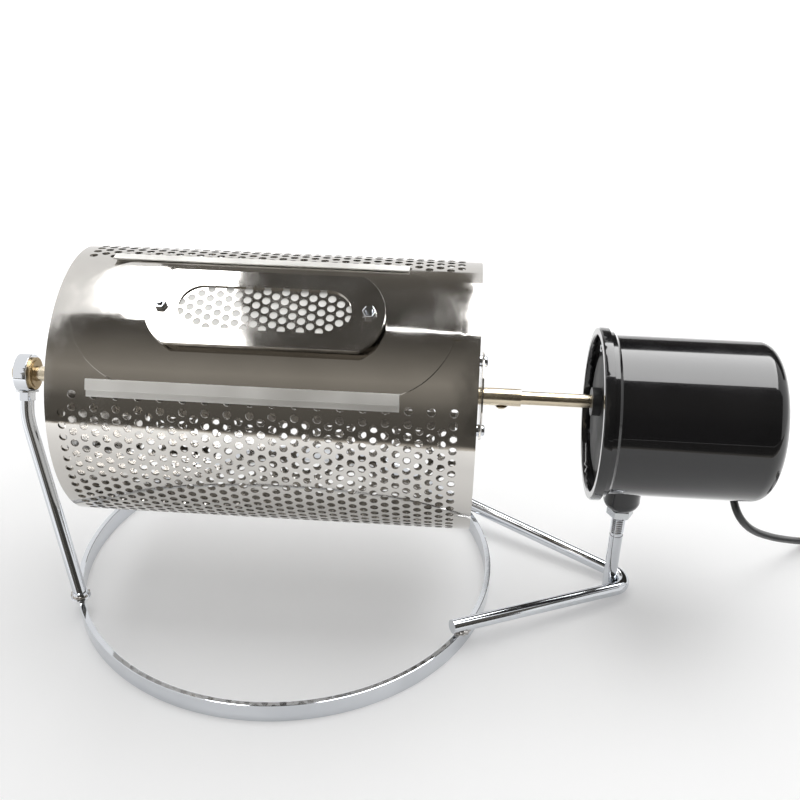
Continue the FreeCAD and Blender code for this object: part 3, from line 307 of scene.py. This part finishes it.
round_end = LEVELS + PLAIN_FOOT
for column in range(1, COLUMNS + 1):
    odd = (column - 1) % 2
    lev = PLAIN_TOP + (PLAIN_TOP + 1 + odd) % 2 + 1
    if lev - 1 > PLAIN_TOP:
        faces.append(plain(column, PLAIN_TOP, lev - 1))
    while lev + 1 <= round_end:
        angle_level = lev - LEVELS
        if angle_level > (3 if odd else 0):
            faces.append(plain(column, lev - 1, lev))
            faces.append(plain(column, lev, lev + 1))
        else:
            punched(column, lev)
        lev += 2
    if lev - 1 < round_end:
        faces.append(plain(column, lev - 1, round_end))
for column in (0, COLUMNS + 1):
    for lev in range(PLAIN_TOP, round_end):
        faces.append(plain(column, lev, lev + 1))
wall = from_faces("wall_round", places, faces)
modified(wall, "SOLIDIFY", thickness=SHEET, offset=-1)

places, faces, known = [], [], {}
for column in range(COLUMNS + 2):
    for lev in range(PLAIN_FOOT, PLAIN_TOP):
        faces.append(plain(column, lev, lev + 1))
saddle = from_faces("wall_plain", places, faces)
modified(saddle, "SOLIDIFY", thickness=SHEET, offset=-1)
print("punched wall", triangles(wall), "plain part", triangles(saddle))

# %% [markdown]
# ## Hatch and catch slit
# The way in is a stadium cut through the plain part, drawn in the door's flat frame and
# pushed through the sheet. At the right end a narrow L of a slit frees a tongue that
# springs against the closed door's tab. Both are boolean cuts on the small plain grid,
# where they are quick and exact.

# %% Hatch and catch slit
HATCH_LEFT, HATCH_RIGHT = -0.0742, 0.0718
HATCH_HALF_ANGLE = 25
SLIT_END, SLIT_LEFT, SLIT_RIGHT = 0.0890, 0.0921, 0.0931
half_height = RADIUS * math.sin(math.radians(HATCH_HALF_ANGLE))
outline = []
for middle, first_angle in ((HATCH_RIGHT - half_height, 90), (HATCH_LEFT + half_height, -90)):
    for i in range(49):
        turn = math.radians(first_angle - 180 * i / 48)
        outline.append((middle + half_height * math.cos(turn), half_height * math.sin(turn)))


def prism(name, corners, low, high, place):
    """Closed prism on an outline, between two heights of a flat frame."""
    count = len(corners)
    points = [place @ Vector((x, y, z)) for z in (low, high) for x, y in corners]
    sides = [[i, (i + 1) % count, (i + 1) % count + count, i + count] for i in range(count)]
    body = from_faces(name, points, sides + [list(range(count))[::-1], list(range(count, 2 * count))])
    outward(body)
    return body


def arc_block(x0, x1, angle0, angle1):
    """Closed block through the drum's sheet between two angles."""
    count = 12
    inside, outside = RADIUS - 0.003, RADIUS + 0.003
    rows = []
    for i in range(count + 1):
        angle = angle0 + (angle1 - angle0) * i / count
        rows.append([on_drum(x, angle, reach) for x, reach in ((x0, inside), (x1, inside),
                                                              (x1, outside), (x0, outside))])
    points = [point for row in rows for point in row]
    sides = [[4 * i + j, 4 * i + (j + 1) % 4, 4 * i + 4 + (j + 1) % 4, 4 * i + 4 + j]
             for i in range(count) for j in range(4)]
    body = from_faces("cutter", points, sides + [[3, 2, 1, 0], [4 * count + j for j in range(4)]])
    outward(body)
    return body


cut(saddle, prism("cutter", outline, 0.035, RADIUS + 0.004, DOOR))
cut(saddle, arc_block(SLIT_LEFT, SLIT_RIGHT, 52.5, 76))
cut(saddle, arc_block(SLIT_END, SLIT_RIGHT, 51.7, 52.6))
drum_wall = joined("drum_wall", [wall, saddle])

# %% [markdown]
# A mirror finish shows every facet, so the wall gets exact normals: on its two curved
# sides each corner points straight away from the axis, and at the punched edges each face
# keeps its own.

# %% Exact normals of the wall
mesh = drum_wall.data
mesh.polygons.foreach_set("use_smooth", [True] * len(mesh.polygons))
normals = []
for face in mesh.polygons:
    centre = Vector((0, face.center.y, face.center.z - DRUM.z)).normalized()
    lean = face.normal.dot(centre)
    for index in face.vertices:
        if abs(lean) > 0.8:
            place = mesh.vertices[index].co
            away = Vector((0, place.y, place.z - DRUM.z)).normalized()
            normals.append(away if lean > 0 else -away)
        else:
            normals.append(face.normal.copy())
mesh.normals_split_custom_set(normals)
print("drum wall triangles", triangles(drum_wall))

# %% [markdown]
# ## Perforated plate and pad of the grip
# Behind the grip's window a small plate is punched with 3.8 mm holes at a 5 mm pitch, and a
# pale pad under it keeps the heat of the drum off the hand. The plate has half-round ends,
# and so has the field of its holes, which are cut by one boolean with all the pins at once.
# The pad is felt, pressed up half a millimetre into the holes, with a rounded edge.

# %% Grip plate
GRIP_X = 0.0008
PLATE_SHEET = 0.0008
COLUMN_STEP, ROW_STEP = 0.00433, 0.0025
PIN_RADIUS = 0.0019
FIELD_STRAIGHT, FIELD_RADIUS = 0.0286, 0.0108


def stadium(length, height, count=24):
    """Outline with half-round ends about the grip's centre."""
    radius = height / 2
    reach = length / 2 - radius
    corners = []
    for side in (1, -1):
        for i in range(count + 1):
            turn = math.radians(90 * side - 180 * i / count)
            corners.append((GRIP_X + side * reach + radius * math.cos(turn), radius * math.sin(turn)))
    return corners


plate_top = GRIP_TOP - 0.00102
grip_plate = prism("grip_plate", stadium(0.0852, 0.028), plate_top - PLATE_SHEET, plate_top, DOOR)
pins = []
for column in range(-9, 10):
    for row in range(-5, 6):
        if (column + row) % 2:
            continue
        across, y = column * COLUMN_STEP, row * ROW_STEP
        past = max(abs(across) - FIELD_STRAIGHT, 0)
        if math.hypot(past, y) > FIELD_RADIUS:
            continue
        corners = [(GRIP_X + across + PIN_RADIUS * math.cos(math.radians(22.5 * i)),
                    y + PIN_RADIUS * math.sin(math.radians(22.5 * i))) for i in range(16)]
        pins.append(prism("pin", corners, plate_top - 0.002, plate_top + 0.001, DOOR))
print("holes in the grip plate", len(pins))
cut(grip_plate, joined("pins", pins))
smooth(grip_plate, 30)

grip_felt = prism("grip_felt", stadium(0.0830, 0.0258), RADIUS + 0.0016, plate_top - 0.0003, DOOR)
modified(grip_felt, "BEVEL", width=0.0006, segments=3, limit_method="ANGLE", angle_limit=math.radians(60))
smooth(grip_felt, 50)

# %% [markdown]
# ## Screws
# Pan heads with a cross recess hold the hub plates and the motor's front plate. One head is
# a short cylinder with its top edge rounded by a bevel, and two crossed bars are cut out of
# it. It is made once, upright at the origin, and each copy has its own mesh.

# %% Screws


def pan_head(radius, height):
    """Pan head with a cross recess, upright on the origin."""
    bpy.ops.mesh.primitive_cylinder_add(vertices=40, radius=radius, depth=height,
                                        location=(0, 0, height / 2))
    head = added("head")
    only(head)
    bpy.ops.object.mode_set(mode="EDIT")
    bpy.ops.mesh.select_all(action="DESELECT")
    bpy.ops.object.mode_set(mode="OBJECT")
    for edge in head.data.edges:
        edge.select = all(head.data.vertices[i].co.z > height * 0.9 for i in edge.vertices)
    bpy.ops.object.mode_set(mode="EDIT")
    bpy.ops.mesh.bevel(offset=height * 0.62, segments=6, affect="EDGES")
    bpy.ops.object.mode_set(mode="OBJECT")
    bars = []
    for turn in (20, 110):
        bpy.ops.mesh.primitive_cube_add(size=1, location=(0, 0, height),
                                        scale=(radius * 1.15, radius * 0.24, height * 1.1),
                                        rotation=(0, 0, math.radians(turn)))
        bars.append(added("bar"))
    for bar in bars:
        cut(head, bar)
    smooth(head, 30)
    return head


def placed_copy(piece, name, matrix):
    """Copy of a piece with its own mesh, moved in its mesh."""
    twin = piece.copy()
    twin.data = piece.data.copy()
    twin.name = name
    twin.data.name = name
    bpy.context.collection.objects.link(twin)
    twin.data.transform(matrix)
    return twin


def peg(name, radius, low, high):
    """Round bar upright on the origin between two heights."""
    bpy.ops.mesh.primitive_cylinder_add(vertices=32, radius=radius, depth=high - low,
                                        location=(0, 0, (low + high) / 2))
    return added(name)


HUB_STAND, HUB_SHEET, SEAT = 0.0026, 0.001, 0.00002
HUB_SCREW_REACH = 0.0179
FACE_SCREW_REACH = 0.036
towards_right = Matrix.Rotation(math.radians(90), 4, "Y")
towards_left = Matrix.Rotation(math.radians(-90), 4, "Y")
hub_head = pan_head(0.003, 0.002)
hub_shank = peg("shank", 0.0015, -0.0114, 0.0002)
hub_spacer = peg("spacer", 0.0032, -0.0114, -0.00106)
hub_screw = joined("hub_screw", [hub_head, hub_shank, hub_spacer])
hub_x = HALF + HUB_STAND + HUB_SHEET + SEAT
screws = {}
for side, name in ((1, "right"), (-1, "left")):
    pair = []
    for angle in (119.6, 299.6):
        spot = on_drum(side * hub_x, angle, HUB_SCREW_REACH)
        turn = towards_right if side > 0 else towards_left
        pair.append(placed_copy(hub_screw, "screw", Matrix.Translation(spot) @ turn))
    screws[name] = joined("hub_screws_" + name, pair)
plate_head = pan_head(0.0024, 0.0018)
plate_x = DRUM.x + 0.16638
face_screws = []
for i in range(4):
    turn = math.radians(45 + 90 * i)
    spot = Vector((plate_x, FACE_SCREW_REACH * math.cos(turn), MOTOR_Z + FACE_SCREW_REACH * math.sin(turn)))
    twist = Matrix.Rotation(math.radians(23 * i), 4, "Z")
    face_screws.append(placed_copy(plate_head, "screw", Matrix.Translation(spot) @ towards_left @ twist))
face_screws = joined("motor_face_screws", face_screws)
for piece in (hub_screw, plate_head):
    bpy.data.objects.remove(piece)
print("screw triangles", triangles(screws["right"]), triangles(face_screws))

# %% [markdown]
# ## Thread and weld beads
# The right upright is threaded below its lock nut. A triangle is carried round and up by
# the Screw modifier, one pitch to a turn. The rods are welded to the ring, and each weld is
# a low bead: a torus or a flattened sphere whose surface is rippled by a sum of sines.

# %% Thread and weld beads
UPRIGHT_X = DRUM.x + 0.18258
THREAD_FOOT = 0.0385
THREAD_ROOT, THREAD_CREST, THREAD_PITCH = 0.00335, 0.00385, 0.00125
profile = [(THREAD_ROOT, 0, 0), (THREAD_CREST, 0, THREAD_PITCH / 2), (THREAD_ROOT, 0, THREAD_PITCH)]
thread = from_faces("upright_thread", profile, [])
thread.data.edges.add(3)
for edge, ends in zip(thread.data.edges, ((0, 1), (1, 2), (2, 0))):
    edge.vertices = ends
modified(thread, "SCREW", axis="Z", angle=2 * math.pi, screw_offset=THREAD_PITCH, iterations=10,
         steps=32, render_steps=32, use_merge_vertices=True)
thread.data.transform(Matrix.Translation((UPRIGHT_X, 0, THREAD_FOOT)))
outward(thread)
smooth(thread, 25)


def rippled(piece, centre, depth):
    """Push each point of a piece in or out along its way from a centre."""
    for vertex in piece.data.vertices:
        place = vertex.co
        wave = math.sin(place.x * 3100) + math.sin(place.y * 2700 + 1.3) + math.sin(place.z * 2300)
        vertex.co = place + (place - centre).normalized() * depth * wave / 3


foot = Vector((DRUM.x - 0.10803, -0.0467, 0.0113))
bpy.ops.mesh.primitive_torus_add(major_radius=0.0036, minor_radius=0.0012, major_segments=48,
                                 minor_segments=14, location=foot)
foot_weld = added("weld_left_foot")
rippled(foot_weld, foot, 0.0006)
smooth(foot_weld, 80)
welds = [foot_weld]
for side in (-1, 1):
    spot = Vector((DRUM.x + 0.0989, side * 0.0555, 0.0108))
    bpy.ops.mesh.primitive_uv_sphere_add(segments=40, ring_count=20, radius=1, location=spot,
                                         scale=(0.0052, 0.0044, 0.0020),
                                         rotation=(0, 0, math.radians(-29 * side)))
    bead = added("weld_brace_%s" % ("front" if side < 0 else "back"))
    rippled(bead, spot, 0.0007)
    smooth(bead, 80)
    welds.append(bead)
print("thread triangles", triangles(thread), "welds", len(welds))

# %% [markdown]
# ## Finishes
# Rolled stainless steel is a mirror with very fine lines along the sheet, faint smudges
# that change its gloss, and a colour that wanders a little. One function builds every
# finish from noises in object coordinates: a slow noise drives colour, smudges drive
# roughness, and a stretched one drives a shallow bump. The polished sheet also waves by a
# few hundredths of a millimetre, which breaks up what it mirrors.

# %% Finish builder


def node(tree, kind, **settings):
    """New node with its inputs or properties set by name."""
    made = tree.nodes.new(kind)
    for key, value in settings.items():
        if key in made.inputs:
            made.inputs[key].default_value = value
        else:
            setattr(made, key, value)
    return made


def noise(tree, scale, detail, stretch=(1, 1, 1)):
    """Noise of so many waves a metre in object coordinates, stretched along an axis."""
    coords = node(tree, "ShaderNodeTexCoord")
    mapping = node(tree, "ShaderNodeMapping", Scale=stretch)
    texture = node(tree, "ShaderNodeTexNoise", Scale=scale, Detail=detail)
    tree.links.new(coords.outputs["Object"], mapping.inputs["Vector"])
    tree.links.new(mapping.outputs["Vector"], texture.inputs["Vector"])
    return texture.outputs["Fac"]


def ramp(tree, source, stops):
    """Colour ramp with its stops as (place, colour or grey)."""
    made = node(tree, "ShaderNodeValToRGB")
    elements = made.color_ramp.elements
    while len(elements) < len(stops):
        elements.new(0.5)
    for element, (place, value) in zip(elements, stops):
        element.position = place
        element.color = (*value, 1) if isinstance(value, tuple) else (value, value, value, 1)
    tree.links.new(source, made.inputs["Fac"])
    return made.outputs["Color"]


def finish(name, colour, shade, rough, metallic=1.0, lines=(1, 1, 1), line_scale=900,
           depth=0.00001, warp=0.0, **fixed):
    """Material whose colour and roughness each run between two values, with a fine relief."""
    material = bpy.data.materials.new(name)
    material.use_nodes = True
    tree = material.node_tree
    shader = tree.nodes["Principled BSDF"]
    shader.inputs["Metallic"].default_value = metallic
    for key, value in fixed.items():
        shader.inputs[key.replace("_", " ")].default_value = value
    tree.links.new(ramp(tree, noise(tree, 18, 3), [(0.35, shade), (0.65, colour)]),
                   shader.inputs["Base Color"])
    tree.links.new(ramp(tree, noise(tree, 45, 6), [(0.38, rough[0]), (0.7, rough[1])]),
                   shader.inputs["Roughness"])
    bump = node(tree, "ShaderNodeBump", Strength=0.35, Distance=depth)
    tree.links.new(noise(tree, line_scale, 4, lines), bump.inputs["Height"])
    if warp:
        dents = node(tree, "ShaderNodeBump", Strength=1.0, Distance=warp)
        tree.links.new(noise(tree, 95, 1), dents.inputs["Height"])
        tree.links.new(dents.outputs["Normal"], bump.inputs["Normal"])
    tree.links.new(bump.outputs["Normal"], shader.inputs["Normal"])
    return material


# %% [markdown]
# Each finish is given by its colour, the shade that the colour wanders to, and its least
# and greatest roughness. The rails are ground, so they are rougher than the door and look
# less like a mirror. Their light colour is partly a painted reflection: it is far lighter
# than the door's steel and only partly metallic, and stands in for the bright light above
# them. The enamel is a dark base under a clear coat.

# %% Materials
steel = finish("polished_steel", (0.66, 0.64, 0.61), (0.60, 0.58, 0.55), (0.05, 0.13),
               lines=(0.04, 1, 1), line_scale=1400, depth=0.000006, warp=0.00006)
# painted reflection: the rails' colour is lighter than steel and partly dull, standing in for the bright
# light above
ground_steel_painted_bright = finish("ground_steel_painted_bright", (0.90, 0.89, 0.86), (0.78, 0.77, 0.74), (0.38, 0.52),
                      metallic=0.72, lines=(1, 0.05, 0.05), line_scale=2400, depth=0.00003)
inner_steel = finish("drum_inner_steel", (0.52, 0.50, 0.47), (0.42, 0.40, 0.37), (0.2, 0.36),
                     lines=(0.04, 1, 1), line_scale=1400, depth=0.000012)
chrome = finish("chrome", (0.70, 0.72, 0.75), (0.62, 0.64, 0.67), (0.03, 0.09), depth=0.000004)
nickel = finish("warm_nickel", (0.72, 0.64, 0.50), (0.62, 0.53, 0.39), (0.16, 0.3),
                lines=(1, 0.1, 0.1), line_scale=2500, depth=0.00001)
bronze = finish("bronze", (0.46, 0.35, 0.20), (0.30, 0.22, 0.12), (0.3, 0.5),
                line_scale=2200, depth=0.00003)
zinc = finish("zinc", (0.72, 0.74, 0.76), (0.60, 0.61, 0.62), (0.22, 0.42),
              line_scale=1600, depth=0.00002)
weld_metal = finish("weld_metal", (0.62, 0.61, 0.60), (0.35, 0.32, 0.29), (0.22, 0.45),
                    line_scale=1500, depth=0.00006)
black = finish("gloss_black", (0.006, 0.006, 0.007), (0.010, 0.010, 0.011), (0.16, 0.26), metallic=0.0,
               line_scale=420, depth=0.00002, Coat_Weight=1.0, Coat_Roughness=0.03, Coat_IOR=1.5,
               Specular_IOR_Level=0.15)
dark = finish("dark_face", (0.014, 0.014, 0.014), (0.008, 0.008, 0.008), (0.45, 0.6), metallic=0.0,
              line_scale=1500, depth=0.00003, Specular_IOR_Level=0.2)
black_plastic = finish("black_plastic", (0.018, 0.018, 0.019), (0.03, 0.03, 0.03), (0.32, 0.48),
                       metallic=0.0, line_scale=1800, depth=0.00003)
felt = finish("pale_felt", (0.86, 0.85, 0.82), (0.76, 0.75, 0.71), (0.85, 0.98), metallic=0.0,
              line_scale=2600, depth=0.0002)
cord_black = finish("cord_black", (0.016, 0.016, 0.017), (0.028, 0.028, 0.029), (0.3, 0.45),
                    metallic=0.0, line_scale=1300, depth=0.00003)
brass = finish("plug_brass", (0.78, 0.74, 0.62), (0.66, 0.62, 0.50), (0.2, 0.38),
               line_scale=2000, depth=0.00001)
print("materials", len(bpy.data.materials))

# %% [markdown]
# ## Dress the nodes
# Each node that stays is listed once with its finish. Pressed and turned parts have a small
# radius on their edges, which catches the light, so they get a bevel after their doubled
# points are merged. The meshes themselves are left as they are.

# %% Nodes
finishes = {
    steel: ("door_panel", "grip_frame", "right_hub_plate", "left_hub_plate",
            "right_end_cap", "left_end_cap"),
    ground_steel_painted_bright: ("lower_rail", "upper_rail"),
    inner_steel: ("mixing_vanes",),
    chrome: ("base_ring", "v_brace", "left_upright", "right_upright", "bearing_holder", "bearing_nut",
             "grip_studs", "grip_nuts", "grip_spacers", "axle_clip"),
    nickel: ("drive_shaft", "shaft_socket", "left_axle", "set_screw"),
    bronze: ("bearing_bush",),
    zinc: ("mount_nut", "bearing_washer"),
    black: ("motor_can", "motor_rim", "mount_boss"),
    dark: ("motor_plate", "gear_motor"),
    black_plastic: ("plug_body", "cord_grommet", "shaft_boss"),
    brass: ("plug_pins",),
}
for material, names in finishes.items():
    for name in names:
        for slot in nodes[name].material_slots:
            slot.material = material
edge_rounds = {"base_ring": 0.0004, "grip_frame": 0.00045, "door_panel": 0.0002, "lower_rail": 0.00015,
               "upper_rail": 0.00015, "right_hub_plate": 0.00025, "left_hub_plate": 0.00025,
               "bearing_holder": 0.0004, "bearing_nut": 0.0003, "grip_nuts": 0.00025,
               "mount_nut": 0.0004, "motor_rim": 0.00018, "plug_pins": 0.0003}
for name, width in edge_rounds.items():
    piece = nodes[name]
    weld = piece.modifiers.new("weld", "WELD")
    weld.merge_threshold = 0.000002
    bevel = piece.modifiers.new("edge", "BEVEL")
    bevel.width = width
    bevel.segments = 2
    bevel.limit_method = "ANGLE"
    bevel.angle_limit = math.radians(50)
    even = piece.modifiers.new("normals", "WEIGHTED_NORMAL")
    even.keep_sharp = True
print("finished nodes", sum(len(names) for names in finishes.values()))

# %% [markdown]
# ## Finish and tie in the new pieces
# Each new piece takes its material, hides the nodes it stands for, and rides on the body
# that carries it, so that the drum's wall turns with the drum and the plate slides with
# the door.

# %% Tie in
kit = [(drum_wall, steel, "polished_steel", "drum", ("drum_sheet",)),
       (grip_plate, steel, "polished_steel", "door", ("grip_mesh",)),
       (grip_felt, felt, "pale_pad", "door", ("grip_pad",)),
       (screws["right"], chrome, "chrome", "drum", ("right_hub_screws",)),
       (screws["left"], chrome, "chrome", "drum", ("left_hub_screws",)),
       (face_screws, chrome, "chrome", "stand", ("plate_screws",)),
       (thread, chrome, "chrome", "stand", ()),
       (cord, cord_black, "cord_black", "stand", ("cord", "cord_coil"))]
kit += [(bead, weld_metal, "chrome", "stand", ()) for bead in welds]
for piece, material, slot_name, body, stands_for in kit:
    piece.data.materials.clear()
    piece.data.materials.append(material)
    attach(piece, body)
    if stands_for:
        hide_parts(*stands_for)
print("new pieces", len(kit))

# %% [markdown]
# ## Studio
# Everything round the object is white to the eye and to reflections, as on a plain white
# page. As light on dull surfaces it counts for less than half, so that the lamp still
# draws soft shadows.

# %% White surroundings
WORLD_FILL = 0.45
bpy.context.scene.view_settings.view_transform = "Standard"
world = bpy.data.worlds.new("studio")
bpy.context.scene.world = world
world.use_nodes = True
tree = world.node_tree
background = tree.nodes["Background"]
background.inputs["Color"].default_value = (1, 1, 1, 1)
rays = node(tree, "ShaderNodeLightPath")
seen = node(tree, "ShaderNodeMath", operation="MAXIMUM")
tree.links.new(rays.outputs["Is Camera Ray"], seen.inputs[0])
tree.links.new(rays.outputs["Is Glossy Ray"], seen.inputs[1])
through = node(tree, "ShaderNodeMath", operation="MAXIMUM")
tree.links.new(seen.outputs[0], through.inputs[0])
tree.links.new(rays.outputs["Is Transmission Ray"], through.inputs[1])
strength = node(tree, "ShaderNodeMapRange")
strength.inputs["To Min"].default_value = WORLD_FILL
strength.inputs["To Max"].default_value = 1.0
tree.links.new(through.outputs[0], strength.inputs["Value"])
tree.links.new(strength.outputs[0], background.inputs["Strength"])
print("surroundings as light", WORLD_FILL)

# %% [markdown]
# The floor is a dull white sheet with a glow of its own that only the eye and reflections
# see. The glow grows with the distance from the object, so the floor is white at the
# picture's edges while the shadow under the ring stays. Near the object the weaker glow is
# painted shade: the floor is darker round the object, and what the drum mirrors of the
# floor is darker near it.

# %% Floor


def bare_material(name):
    """Material with an empty tree."""
    material = bpy.data.materials.new(name)
    material.use_nodes = True
    material.node_tree.nodes.clear()
    return material


bpy.ops.mesh.primitive_plane_add(size=8, location=(0, 0, 0))
floor = added("floor")
floor_material = bare_material("floor")
tree = floor_material.node_tree
paint = node(tree, "ShaderNodeBsdfDiffuse", Color=(0.8, 0.8, 0.8, 1))
glow = node(tree, "ShaderNodeEmission", Color=(1, 1, 1, 1))
rays = node(tree, "ShaderNodeLightPath")
either = node(tree, "ShaderNodeMath", operation="MAXIMUM")
tree.links.new(rays.outputs["Is Camera Ray"], either.inputs[0])
tree.links.new(rays.outputs["Is Glossy Ray"], either.inputs[1])
lift = node(tree, "ShaderNodeMath", operation="MULTIPLY")
coords = node(tree, "ShaderNodeTexCoord")
spread = node(tree, "ShaderNodeVectorMath", operation="LENGTH")
tree.links.new(coords.outputs["Object"], spread.inputs[0])
# painted shade: the floor's glow is weaker near the object, so the floor is darker round it
painted_shade_by_distance = node(tree, "ShaderNodeMapRange")
for key, value in (("From Min", 0.25), ("From Max", 0.8), ("To Min", 0.22), ("To Max", 0.88)):
    painted_shade_by_distance.inputs[key].default_value = value
tree.links.new(spread.outputs["Value"], painted_shade_by_distance.inputs["Value"])
tree.links.new(either.outputs[0], lift.inputs[0])
tree.links.new(painted_shade_by_distance.outputs[0], lift.inputs[1])
tree.links.new(lift.outputs[0], glow.inputs["Strength"])
both = node(tree, "ShaderNodeAddShader")
result = node(tree, "ShaderNodeOutputMaterial")
tree.links.new(paint.outputs[0], both.inputs[0])
tree.links.new(glow.outputs[0], both.inputs[1])
tree.links.new(both.outputs[0], result.inputs["Surface"])
floor.data.materials.append(floor_material)
print("floor", [round(v, 2) for v in floor.dimensions])

# %% [markdown]
# Polished metal is coloured by what it mirrors, so cards that only reflections see stand
# round the object, each point of a card with its own tone. Four of them are bent about the
# drum's axis. The front one darkens the middle and the lower half of the door, the overhead
# one the right half of the door's upper part, the right one the front flank of the motor,
# and the back one its far flank. The fifth lies flat on the worktop some way in front. It
# is dark, but its edge towards the object is light, so that the dark field fades softly
# into the white of the floor.

# %% Cards


def card(name, points, tones, faces, tint=(1, 0.93, 0.82)):
    """Sheet with a tone at each point, seen by reflections only."""
    sheet = from_faces(name, points, faces)
    spots = sheet.data.color_attributes.new("tone", "FLOAT_COLOR", "POINT")
    for spot, tone in zip(spots.data, tones):
        spot.color = (tone * tint[0], tone * tint[1], tone * tint[2], 1)
    material = bare_material(name)
    tree = material.node_tree
    tone = node(tree, "ShaderNodeAttribute", attribute_name="tone")
    light = node(tree, "ShaderNodeEmission", Strength=1.0)
    result = node(tree, "ShaderNodeOutputMaterial")
    tree.links.new(tone.outputs["Color"], light.inputs["Color"])
    tree.links.new(light.outputs[0], result.inputs["Surface"])
    sheet.data.materials.append(material)
    sheet.visible_camera = False
    sheet.visible_diffuse = False
    sheet.visible_shadow = False
    sheet.visible_transmission = False


def curved_card(name, reach, rows):
    """Card about the drum's axis, from rows of elevation, left end, right end and tone."""
    points, tones = [], []
    for elevation, left, far, tone in rows:
        turn = math.radians(elevation)
        for x in (left, far):
            points.append((x, -reach * math.cos(turn), DRUM.z + reach * math.sin(turn)))
            tones.append(tone)
    card(name, points, tones, [[2 * i, 2 * i + 1, 2 * i + 3, 2 * i + 2] for i in range(len(rows) - 1)])


curved_card("front_card", 1.5, [(-4, -0.80, 0.06, 0.10), (12, -0.80, 0.06, 0.12), (24, -0.80, 0.06, 0.24),
                                (36, -0.78, 0.06, 0.32), (45, -0.78, 0.06, 0.25), (58, -0.76, 0.06, 0.15),
                                (68, -0.74, 0.06, 0.09), (80, -0.72, 0.06, 0.08)])
curved_card("right_card", 1.5, [(-4, 0.06, 2.4, 0.05), (24, 0.06, 2.4, 0.06), (40, 0.06, 2.4, 0.10),
                                (60, 0.06, 2.4, 0.12), (80, 0.06, 2.4, 0.08)])
curved_card("overhead_card", 0.85, [(78, -0.235, 0.052, 0.07), (90, -0.245, 0.052, 0.06),
                                    (110, -0.30, 0.052, 0.08), (130, -0.34, 0.052, 0.12),
                                    (150, -0.36, 0.052, 0.2)])
curved_card("back_card", 1.4, [(136, 0.12, 2.4, 0.03), (150, 0.12, 2.4, 0.03), (168, 0.12, 2.4, 0.05)])
edge = [(-0.9, -0.86), (-0.5, -0.74), (0.05, -0.47), (0.3, -0.34), (2.4, -0.34)]
points = [(x, y - out_by, 0.002) for out_by in (0, 0.10, 1.2) for x, y in edge]
card("table_card", points, [0.75] * 5 + [0.09] * 10,
     [[row + i + 5, row + i + 6, row + i + 1, row + i] for row in (0, 5) for i in range(4)])

# %% [markdown]
# A wide soft lamp hangs above and a little behind the object, tilted towards it. Metal
# mirrors a bright card of the same size just under it, so the highlights are as crisp as
# those of a real softbox.

# %% Lamp
LAMP_SIZE = (1.4, 1.13)
lamp_data = bpy.data.lights.new("soft_lamp", "AREA")
lamp_data.shape = "RECTANGLE"
lamp_data.size, lamp_data.size_y = LAMP_SIZE
lamp_data.energy = 11.3
lamp = bpy.data.objects.new("soft_lamp", lamp_data)
bpy.context.collection.objects.link(lamp)
lamp_place = Matrix.Translation((0.2, 0.29, 1.157)) @ Matrix.Rotation(math.radians(-16), 4, "X")
lamp.matrix_world = lamp_place
lamp.visible_camera = False
corners = [lamp_place @ Vector((side * LAMP_SIZE[0] / 2, way * LAMP_SIZE[1] / 2, -0.01))
           for side, way in ((-1, -1), (1, -1), (1, 1), (-1, 1))]
card("softbox", corners, [7.0] * 4, [[3, 2, 1, 0]], tint=(1, 1, 1))
print("lamp", LAMP_SIZE, "m,", round(lamp_data.energy, 1), "W")
